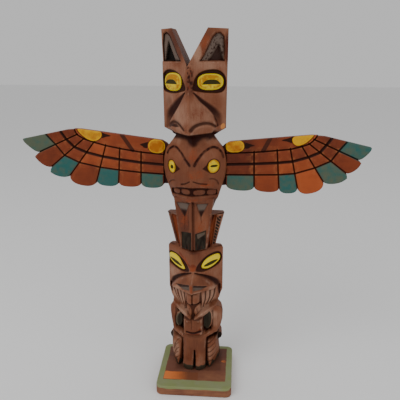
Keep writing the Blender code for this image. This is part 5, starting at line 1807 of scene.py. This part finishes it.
    def paint_tips(self, wood: Carving) -> None:
        """Green on every second feather below the coverts.

        Args:
            wood: the board's front.
        """
        first, step = self.covert_shares[1]
        for i in range(0, self.feathers, 2):
            here, there = self.fan[i : i + 2]
            corners = (here.at(first - step * i), there.at(first - step * (i + 1)))
            cell = wood.shape((*corners, there.at(1.3), here.at(1.3)))
            lap = 1.4 * ease(wood.x - here.x) if i == self.feathers - 1 else 0.0
            wood.coat(Paint.GREEN, cell + 0.55 - lap)
            wood.fade_in(cell < 1.0, self.faded[i])

    def tones(self) -> Grid:
        """How warm and how lit the wood is over the grid, painted light included: constant in each cell,
        eased between.
        """
        along = np.arange(-self.root_columns, self.columns * self.feathers + 1)
        feather = np.clip(along // self.columns, 0, self.feathers - 1)
        band = np.interp(along, (0, along[-1]), self.band_tone_and_light)
        rows = [np.repeat(band[None], self.band_rows, axis=0)]
        for values, count in zip(self.cell_tone_and_light, self.rows):
            last = count + (values is self.cell_tone_and_light[-1])
            rows.append(np.repeat(np.array(values)[feather][None], last, axis=0))
        return blur(np.vstack(rows), 0.6)

    def build(self, axis: float) -> bpy.types.Object:
        """Make the closed board: carved front, plain back and rounded edge.

        Args:
            axis: the upright's x, from which the wing's widths are measured.

        Returns:
            The finished object.
        """
        wood, rounding = self.carve()
        x, turned = self.side * wood.x, self.side < 0
        front = np.minimum(wood.depth, self.front + 2.4) + rounding
        rear = self.front + self.thick - rounding - 0.08 * (wood.noise(4.0, 4.0, 43) + 1.0)
        mesh = WrappedMesh()
        front_ids, back_ids = (mesh.add(np.dstack((x, y, wood.z))) for y in (front, rear))
        mesh.quads(front_ids, flip=not turned)
        mesh.quads(back_ids, flip=turned)
        mesh.quads(np.array((ring_of(front_ids), ring_of(back_ids))), wrap=True, flip=turned)
        item = mesh.finish(self.name, axis)
        # pale on the raised edges beside the lines: wear, with painted highlight
        wear = np.clip(-2.2 * (wood.depth - blur(wood.depth, 2.5)), 0, 1)
        none, tones = np.zeros(x.shape), self.tones()
        for paint, values in wood.paint.items():
            values = np.clip(values, -FAR, FAR)
            mesh.attribute(item, paint.value, values, values if paint is Paint.GREEN else none + FAR)
        mesh.attribute(item, "stained", wood.stained, none)
        mesh.attribute(item, "wear", wear, none)
        mesh.attribute(item, "faded", np.clip(wood.faded, 0, 1), none + 0.5)
        mesh.attribute(item, "tone", tones, tones)
        return item


LEFT_WING = Wing(
    name="feathered_wing_left",
    side=-1,
    quills=(
        (28.0, 203.0, 0.0, 25.5), (47.3, 204.7, 1.9, 27.5), (66.2, 207.4, 4.6, 30.1),
        (78.8, 209.7, 17.2, 33.0), (89.3, 212.4, 38.4, 39.1), (98.4, 215.2, 51.0, 41.3),
        (104.4, 218.8, 65.8, 39.6), (106.5, 223.8, 78.6, 49.5),
    ),
    far_tips=((6.0, 0.75), (6.6, 0.95), (2.1, 0)),
    faded=(0.45, 0.3, 0.0, 0.3, 0.2, 0.3, 0.8),
    eye_fades=(0.75, 0.4),
    # tones raised where this board is lit: painted light
    cell_tone_and_light=(
        (0.30, 0.62, 0.68, 0.8, 0.36, 0.3, 0.22),
        (0.40, 0.60, 0.7, 0.74, 0.42, 0.4, 0.3),
        (0.1, 0.5, 0.95, 0.38, 0.7, 0.32, 0.15),
    ),
    band_tone_and_light=(0.6, 0.66),
    eye=Oval(33.4, 210.3, 7.2, 6.1, 0, 2.3),
    wrist_eye=(
        (81.8, 220.8), (82.2, 217.2), (86.0, 214.2), (91.6, 213.6), (98.4, 217.4),
        (103.4, 223.4), (99.0, 224.4), (90.0, 223.2), (84.0, 222.2),
    ),
    slash=((64.4, 220.6), (54.6, 206.2)),
)
RIGHT_WING = Wing(
    name="feathered_wing_right",
    side=1,
    quills=(
        (26.8, 205.4, 0.0, 27.2), (49.6, 207.1, 1.7, 29.6), (68.5, 209.1, 5.0, 32.4),
        (79.2, 210.4, 12.6, 33.8), (88.4, 212.9, 33.0, 34.9), (94.2, 215.1, 52.8, 38.9),
        (98.1, 218.8, 66.1, 38.5), (100.3, 222.4, 78.0, 43.7),
    ),
    far_tips=((6.2, 0.6), (5.0, 0.75), (2.1, 0)),
    faded=(0.55, 0.3, 0.25, 0.3, 0.6, 0.3, 0.4),
    eye_fades=(0.6, 0.1),
    # darker at the root: the upright's shadow, painted
    cell_tone_and_light=(
        (0.12, 0.35, 0.5, 0.42, 0.5, 0.35, 0.3),
        (0.25, 0.45, 0.75, 0.75, 0.55, 0.35, 0.3),
        (0.1, 0.55, 0.7, 0.95, 0.6, 0.4, 0.5),
    ),
    band_tone_and_light=(0.12, 1.1),
    eye=Oval(33.5, 211.9, 7.8, 5.3, 4, 2.3),
    wrist_eye=(
        (80.4, 219.6), (81.4, 215.4), (85.0, 213.6), (90.4, 215.4), (95.2, 219.6),
        (97.2, 223.0), (92.0, 223.6), (84.6, 222.2),
    ),
    slash=((62.6, 219.4), (57.0, 208.6)),
)


# ---------------------------------------------------------------- base
def ray(angle: Grid) -> Grid:
    """The direction at an angle: (cos, sin)."""
    return np.stack((np.cos(angle), np.sin(angle)), axis=-1)


@dataclass
class BaseBlock:
    """The square block: a rounded outline carried round a softened profile."""

    side: float = 65.8
    thick: float = 9.0
    corner: float = 5.5
    edge: float = 0.9
    turn: float = 4.0
    corner_steps: int = 9
    side_steps: int = 50
    edge_steps: int = 5
    rings: tuple[int, int, int] = (56, 14, 8)  # on the top, down the side, under the block
    hub: float = 0.5  # size of the innermost ring
    borders: Row = (5.5, 4.9, 10.2)  # sides, back, front

    def outline(self, inset: float) -> Grid:
        """The square with round corners, drawn in.

        Args:
            inset: how far, in millimetres.

        Returns:
            The ring's points, one a row.
        """
        radius = max(self.corner - inset, 0.05)
        reach = math.sqrt(2) * min(self.side / 2 - inset - radius, self.side / 2 - self.corner)
        share = np.linspace(0, 1, self.side_steps + 1)[1:-1, None]
        eighth = math.pi / 4
        points = []
        for start in eighth * np.arange(0, 8, 2):
            turns = np.linspace(0, 2 * eighth, self.corner_steps) + start
            arc = reach * ray(start + eighth) + radius * ray(turns)
            lead = reach * ray(start + 3 * eighth) + radius * ray(start + 2 * eighth)
            points += [arc, arc[-1] + (lead - arc[-1]) * share]
        return np.vstack(points)

    def profile(self) -> Grid:
        """Inset and height of each ring, from the middle of the top round to below."""
        edge, thick, inner = self.edge, self.thick, self.side / 2 - self.hub
        on_top, down, under = self.rings
        turns = np.linspace(0, math.pi / 2, self.edge_steps)[1:]
        rows = [(inset, thick) for inset in np.linspace(inner, edge, on_top)]
        rows += [(edge * (1 - math.sin(t)), thick - edge * (1 - math.cos(t))) for t in turns]
        rows += [(0.0, z) for z in np.linspace(thick - edge, edge, down)[1:]]
        rows += [(edge * (1 - math.cos(t)), edge * (1 - math.sin(t))) for t in turns]
        rows += [(inset, 0.0) for inset in np.linspace(edge, inner, under)[1:]]
        return np.array(rows)

    def build(self) -> bpy.types.Object:
        """Make the closed block and lay its paint."""
        insets, heights = self.profile().T
        flat = np.array([self.outline(inset) for inset in insets])
        height = np.repeat(heights[:, None], flat.shape[1], axis=1)
        worn = 0.1 * (mottle(flat[..., 0], flat[..., 1] + 3 * height, 4.0, 4.0, 51) + 1.0)
        height = height - worn * (height > self.thick - 0.01)
        right, back = ray(math.radians(self.turn)), ray(math.radians(self.turn + 90.0))
        mesh = WrappedMesh()
        ids = mesh.add(np.dstack((flat[..., :1] * right + flat[..., 1:] * back, height)))
        mesh.quads(ids[::-1], wrap=True)
        for row, order in ((0, 1), (-1, -1)):
            hub = mesh.add(np.array([[[0.0, 0.0, height[row].mean()]]]))[0, 0]
            fan = (np.full(ids.shape[1], hub), ids[row], np.roll(ids[row], -1))
            mesh.triangles(np.column_stack(fan[::order]))
        item = mesh.finish("base_block", 0.0)
        local = np.vstack((flat.reshape(-1, 2), np.zeros((2, 2))))
        tall = np.concatenate((height.ravel(), (self.thick, 0.0)))
        for name, values in self.paint(local, tall).items():
            mesh.attribute(item, name, values)
        return item

    def paint(self, local: Grid, tall: Grid) -> dict[str, Grid]:
        """Green border, brown field with orange wear, a bare front and a painted contact shadow round the
        upright's foot.

        Args:
            local: points in the block's own square, x right and y back.
            tall: their heights.

        Returns:
            One value a point for each paint.
        """
        x, y = local.T
        half, top = self.side / 2, tall - self.thick
        beside, behind, ahead = (half - border for border in self.borders)
        wobble = 0.35 * mottle(x, y, 6.0, 6.0, 52) + 0.2 * mottle(x, y, 1.6, 1.6, 53)
        bare = np.maximum(np.abs(x) - beside, np.maximum(-y - ahead, y - behind)) + wobble
        lap = top + np.where(y < -half + 2.0, 2.4, 1.4) + 0.6 * mottle(x, y, 6.5, 3.5, 54)
        band = np.abs(y + 17.0) - 5.6 + 0.5 * mottle(x, y, 5.0, 2.0, 55)
        orange = np.maximum(np.maximum(band, bare + 0.2), x - 3.0)
        patch = Oval(25.2, 7.0, 2.6, 1.7).distance(x, y) + 0.7 * mottle(x, y, 1.3, 1.3, 56)
        # painted contact shadow on the top, round the upright's foot
        around = np.maximum(np.abs(x - 2.2) - 19.0, 0), np.maximum(np.abs(y - 9.0) - 15, 0)
        under = ease(1.0 - np.hypot(*around) / 7.0) ** 2 * (top > -0.4)
        tone = 0.42 + 0.2 * ease((x + 4.0) / 14.0) * ease((-y - 4.0) / 14.0) - 0.15 * (y > 12)
        along = np.clip((x + 27.5) / 30.0, 0, 1)
        faded = np.where(orange < 0.2, 1.5 * along**1.5, 0.4 + 0.4 * mottle(x, y, 4.0, 4.0, 58))
        return {
            Paint.GREEN.value: np.clip(np.maximum(-bare, -lap), -FAR, FAR),
            Paint.RED.value: np.clip(np.minimum(orange, patch), -FAR, FAR),
            "stained": 0.45 * under,
            "tone": np.where(top < -0.4, 0.66 + 0.1 * mottle(x, tall, 9.0, 1.2, 57), tone),
            "faded": np.clip(faded, 0, 1),
        }


# ---------------------------------------------------------------- materials
class Socket:
    """A node's output or a number, with arithmetic that makes Math nodes."""

    def __init__(self, maker: "MaterialMaker", value: object) -> None:
        """Wrap an output socket or a plain value."""
        self.maker, self.value = maker, value

    def _math(self, operation: str, *values: object) -> "Socket":
        """One Math node of the values."""
        return self.maker.node("ShaderNodeMath", *values, operation=operation)

    def __add__(self, other: object) -> "Socket":
        """Sum."""
        return self._math("ADD", self, other)

    def __sub__(self, other: object) -> "Socket":
        """Difference."""
        return self._math("SUBTRACT", self, other)

    def __rsub__(self, other: object) -> "Socket":
        """Difference with this one second."""
        return self._math("SUBTRACT", other, self)

    def __mul__(self, other: object) -> "Socket":
        """Product."""
        return self._math("MULTIPLY", self, other)

    def between(self, low: object, high: object) -> "Socket":
        """Smooth step from 0 at `low` to 1 at `high`."""
        step = {"interpolation_type": "SMOOTHSTEP"}
        return self.maker.node("ShaderNodeMapRange", self, low, high, 0.0, 1.0, **step)


@dataclass(frozen=True)
class Coat:
    """One paint: its main colour, the colour it varies to and its roughness."""

    main: Colour
    varied: Colour
    rough: float = 0.5


@dataclass(frozen=True)
class Finish:
    """The colours of one piece of painted wood."""

    deep: Colour
    warm: Colour
    pale: Colour
    wash_and_shade: Colour
    worn: Colour
    coats: dict[Paint, Coat]
    roughness: float = 0.5
    grain: tuple[float, float, float] = (700.0, 700.0, 60.0)


class MaterialMaker:
    """Builds one node material."""

    def __init__(self, name: str) -> None:
        """Start a material with an empty tree.

        Args:
            name: the material's name.
        """
        self.material = bpy.data.materials.new(name)
        self.material.use_nodes = True
        self.tree = self.material.node_tree
        self.tree.nodes.clear()

    def node(self, kind: str, *inputs: object, output: int | str = 0, **settings: object) -> Socket:
        """Make a node, set it up and connect it.

        Args:
            kind: the node's type name.
            inputs: values or sockets for its inputs in order; None leaves one alone.
            output: which output to return.
            settings: the node's properties, and its inputs by name.

        Returns:
            The chosen output, or the node where it has none.
        """
        made = self.tree.nodes.new(kind)
        pairs = [(made.inputs[i], value) for i, value in enumerate(inputs) if value is not None]
        named = []
        for key, value in settings.items():
            if hasattr(made, key):
                setattr(made, key, value)
            else:
                named.append((made.inputs[key], value))
        for target, value in pairs + named:
            value = value.value if isinstance(value, Socket) else value
            if isinstance(value, bpy.types.NodeSocket):
                self.tree.links.new(value, target)
            elif target.type == "RGBA":
                target.default_value = (*value, 1.0)
            else:
                target.default_value = value
        return Socket(self, made.outputs[output] if made.outputs else made)

    def attribute(self, name: str) -> Socket:
        """A value stored on the mesh."""
        return self.node("ShaderNodeAttribute", attribute_name=name, output="Fac")

    def noise(self, place: Socket, scale: tuple, detail: float, rough: float) -> Socket:
        """Noise over a stretched place.

        Args:
            place: the coordinates.
            scale: what each of them is multiplied by.
            detail: how many finer layers it has.
            rough: how strong they are.

        Returns:
            The noise, about 0 to 1.
        """
        spread = self.node("ShaderNodeVectorMath", place, scale, operation="MULTIPLY")
        settings = {"Scale": 1.0, "Detail": detail, "Roughness": rough}
        return self.node("ShaderNodeTexNoise", spread, output="Fac", **settings)

    def blend(self, share: Socket, first: Socket | Colour, second: Socket | Colour) -> Socket:
        """Mix two colours."""
        skipped = (None,) * 5
        return self.node("ShaderNodeMix", share, *skipped, first, second, data_type="RGBA", output=2)

    def principled(self, **settings: object) -> bpy.types.Node:
        """Connect a principled shader to the output.

        Args:
            settings: the shader's inputs by name.

        Returns:
            The shader's node.
        """
        shader = self.node("ShaderNodeBsdfPrincipled", **settings)
        self.node("ShaderNodeOutputMaterial", Surface=shader)
        return shader.value.node


# each paint's raggedness and cover, in the order of laying
UNDER_WASH = ((Paint.RED, 1.6, 0.85), (Paint.GREEN, 0.5, 0.96), (Paint.GREY, 0.8, 0.9))
OVER_WASH = ((Paint.YELLOW, 0.35, 1.0), (Paint.BLACK, 0.4, 0.96), (Paint.CHIP, 0.8, 0.95))


def painted_wood(name: str, finish: Finish) -> bpy.types.Material:
    """Stained wood under worn paint.

    The stain runs from deep through warm to pale by the piece's own tone and the
    grain, the tone holding painted light in places; wear and painted highlight pale
    the edges; a dark colour fills what the carving marked, as stain and painted shade;
    each paint lies where its stored distance is below a ragged zero.

    Args:
        name: the material's name.
        finish: its colours.

    Returns:
        The material.
    """
    make = MaterialMaker(name)
    place = make.node("ShaderNodeTexCoord", output="Object")
    grain = make.noise(place, finish.grain, 4.0, 0.6)
    cloud = make.noise(place, (90.0, 90.0, 55.0), 3.0, 0.55)
    speck = make.noise(place, (1500.0, 1500.0, 900.0), 2.0, 0.6)
    tone = make.attribute("tone")
    level = tone + (cloud - 0.5) * 0.55 + (grain - 0.5) * 0.3
    colour = make.blend(level.between(0.0, 0.55), finish.deep, finish.warm)
    colour = make.blend(level.between(0.45, 1.05), colour, finish.pale)
    wear = make.attribute("wear") + (speck - 0.5) * 0.5
    # edges pale by wear and by painted highlight
    colour = make.blend(wear.between(0.25, 1.1) * 0.5, colour, finish.worn)
    faded = make.attribute("faded")
    ragged = (cloud - 0.5) * 0.5 + (speck - 0.5) * 0.5
    roughness = (grain - 0.5) * 0.25 + finish.roughness

    def lay(paint: Paint, below: Socket, soft: float, cover: float) -> tuple[Socket, Socket]:
        """Lay one paint over the colour below it.

        Args:
            paint: which paint.
            below: the colour so far.
            soft: how ragged its edge is.
            cover: how much of what is below it hides.

        Returns:
            The new colour, and the share of it that is this paint.
        """
        coat = finish.coats[paint]
        edge = make.attribute(paint.value) + ragged * soft
        share = (1.0 - edge.between(-0.22, 0.1)) * cover
        blot = cloud * 0.4 + (speck - 0.5) * 0.5 + faded
        mixed = make.blend(blot.between(0.15, 1.15), coat.main, coat.varied)
        return make.blend(share, below, mixed), share

    for paint, soft, cover in UNDER_WASH:
        if paint in finish.coats:
            colour, _ = lay(paint, colour, soft, cover)
    # the dark colour laid here is stain, and painted shade where the carving marked it
    stained = make.attribute("stained") + (speck - 0.5) * 0.25
    colour = make.blend(stained.between(0.1, 0.95) * 0.97, colour, finish.wash_and_shade)
    for paint, soft, cover in OVER_WASH:
        if paint in finish.coats:
            colour, share = lay(paint, colour, soft, cover)
            roughness = roughness + share * (finish.coats[paint].rough - finish.roughness)
    height = grain * 0.55 + speck * 0.25 + cloud * 0.2
    relief = {"Strength": 0.35, "Distance": 0.0002, "Height": height}
    bump = make.node("ShaderNodeBump", output="Normal", **relief)
    look = {"Roughness": roughness, "Normal": bump, "Specular IOR Level": 0.1, "Base Color": colour}
    make.tree.nodes.active = make.principled(**look)
    return make.material


POLE_FINISH = Finish(
    deep=(0.090, 0.029, 0.016),
    warm=(0.19, 0.066, 0.032),
    pale=(0.33, 0.176, 0.114),
    wash_and_shade=(0.020, 0.0024, 0.0008),
    worn=(0.38, 0.23, 0.16),
    coats={
        Paint.RED: Coat((0.14, 0.026, 0.010), (0.24, 0.050, 0.016)),
        Paint.GREY: Coat((0.120, 0.092, 0.074), (0.085, 0.088, 0.055)),
        Paint.YELLOW: Coat((0.73, 0.56, 0.022), (0.42, 0.18, 0.004), 0.42),
        Paint.BLACK: Coat((0.004, 0.0030, 0.0018), (0.032, 0.027, 0.017)),
        Paint.CHIP: Coat((0.52, 0.20, 0.06), (0.38, 0.15, 0.06), 0.6),
    },
)
WING_FINISH = Finish(
    deep=(0.086, 0.019, 0.0095),
    warm=(0.185, 0.038, 0.014),
    pale=(0.33, 0.070, 0.021),
    wash_and_shade=(0.014, 0.0022, 0.0008),
    worn=(0.36, 0.12, 0.04),
    coats={
        Paint.GREEN: Coat((0.014, 0.100, 0.092), (0.080, 0.100, 0.066)),
        Paint.GREY: Coat((0.045, 0.013, 0.007), (0.04, 0.014, 0.007)),
        Paint.YELLOW: Coat((0.60, 0.31, 0.006), (0.34, 0.105, 0.010), 0.42),
        Paint.BLACK: Coat((0.014, 0.004, 0.002), (0.03, 0.008, 0.003)),
    },
    roughness=0.46,
    grain=(90.0, 700.0, 420.0),
)
BASE_FINISH = Finish(
    deep=(0.100, 0.044, 0.032),
    warm=(0.16, 0.062, 0.038),
    pale=(0.33, 0.145, 0.070),
    wash_and_shade=(0.030, 0.012, 0.007),
    worn=(0.34, 0.19, 0.11),
    coats={
        Paint.RED: Coat((0.72, 0.19, 0.040), (0.17, 0.058, 0.028)),
        Paint.GREEN: Coat((0.205, 0.24, 0.095), (0.22, 0.24, 0.13)),
    },
    roughness=0.55,
    grain=(80.0, 500.0, 700.0),
)


# ---------------------------------------------------------------- studio
@dataclass(frozen=True)
class Studio:
    """Pale floor, soft light and the camera."""

    lens: float = 43.2
    yaw: float = 8.5
    pitch: float = 15.81
    distance: float = 0.3876
    shift: float = 0.0034
    height: float = 0.2778
    lamp_size: float = 0.9
    key: float = 6.4
    fill: float = 2.4
    air: float = 0.62
    floor_reach: float = 6.0
    floor_gap: float = 0.0002  # between the floor and the base
    floor_grey: Colour = (0.86, 0.86, 0.86)
    aim: tuple[float, float, float] = (0.0, 0.0, 0.15)  # the middle of the pole

    def build(self) -> None:
        """Make the floor, the lamps, the world light and the camera."""
        self.lay_floor()
        self.hang_lamp("key_light", (-0.55, -0.75, 0.95), self.key)
        self.hang_lamp("fill_light", (0.75, -0.6, 0.55), self.fill)
        world = bpy.data.worlds.new("studio_air")
        world.use_nodes = True
        colour, strength = world.node_tree.nodes["Background"].inputs[:2]
        colour.default_value, strength.default_value = (1.0, 1.0, 1.0, 1.0), self.air
        bpy.context.scene.world = world
        self.set_camera()

    def place(self, name: str, data: bpy.types.ID) -> bpy.types.Object:
        """Put an object of the given data into the scene.

        Args:
            name: what the object is called.
            data: its lamp, mesh or camera.

        Returns:
            The object.
        """
        item = bpy.data.objects.new(name, data)
        bpy.context.scene.collection.objects.link(item)
        return item

    def lay_floor(self) -> None:
        """A wide plain floor just under the base."""
        maker = MaterialMaker("pale_floor")
        maker.principled(**{"Roughness": 0.7, "Base Color": self.floor_grey})
        mesh = bpy.data.meshes.new("studio_floor")
        signs, reach = ((-1, -1), (1, -1), (1, 1), (-1, 1)), self.floor_reach
        mesh.from_pydata([(x * reach, y * reach, 0) for x, y in signs], [], [(0, 1, 2, 3)])
        mesh.materials.append(maker.material)
        floor = self.place("studio_floor", mesh)
        floor.location.z = -self.floor_gap

    def hang_lamp(self, name: str, spot: tuple, power: float) -> None:
        """A square soft lamp aimed at the middle of the pole.

        Args:
            name: what the lamp is called.
            spot: where it hangs.
            power: its power in watts.
        """
        lamp = bpy.data.lights.new(name, "AREA")
        lamp.shape, lamp.size, lamp.energy = "SQUARE", self.lamp_size, power
        item = self.place(name, lamp)
        item.location = spot
        towards = Vector(self.aim) - Vector(spot)
        item.rotation_euler = towards.to_track_quat("-Z", "Y").to_euler()

    def set_camera(self) -> None:
        """Stand the camera in front, a little to the right and above, looking down."""
        yaw, pitch = math.radians(self.yaw), math.radians(self.pitch)
        back = Vector((math.sin(yaw), -math.cos(yaw), 0.0))
        right = Vector((math.cos(yaw), math.sin(yaw), 0.0))
        ahead = (-back * math.cos(pitch) - Vector((0, 0, 1)) * math.sin(pitch)).normalized()
        frame = Matrix((right, right.cross(ahead), -ahead)).transposed().to_4x4()
        frame.translation = back * self.distance + right * self.shift
        frame.translation.z = self.height
        data = bpy.data.cameras.new("studio_camera")
        data.lens, data.sensor_width, data.clip_start = self.lens, 36.0, 0.01
        item = self.place("studio_camera", data)
        item.matrix_world = frame
        bpy.context.scene.camera = item


# ---------------------------------------------------------------- assembly
def plain(bounds: object) -> list:
    """Bounds as plain lists."""
    return [[float(v) for v in corner] for corner in bounds]


def dress(item: bpy.types.Object, finish: Finish, node: str, slot: str) -> bpy.types.Object:
    """Give a piece its wood and its place in the frame.

    Args:
        item: the piece.
        finish: the colours of its wood.
        node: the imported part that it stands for.
        slot: its material slot.

    Returns:
        The same piece.
    """
    item.data.materials.append(painted_wood(f"{slot}_paint", finish))
    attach(item, "root")
    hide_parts(node)
    return item


def main() -> None:
    """Load the frame, build every piece on it and set up the studio."""
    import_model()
    low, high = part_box("pole")
    upright = Upright(low, high)
    pieces = [dress(upright.build(), POLE_FINISH, "pole", "pole_wood")]
    for wing, node in ((LEFT_WING, "wing_left"), (RIGHT_WING, "wing_right")):
        pieces.append(dress(wing.build(upright.axis), WING_FINISH, node, "wing_wood"))
    pieces.append(dress(BaseBlock().build(), BASE_FINISH, "base", "base_wood"))
    for item in pieces:
        mesh = item.data
        log.info("%s: %d points, %d faces", item.name, len(mesh.vertices), len(mesh.polygons))
    Studio().build()
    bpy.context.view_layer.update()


if __name__ == "__main__":
    main()
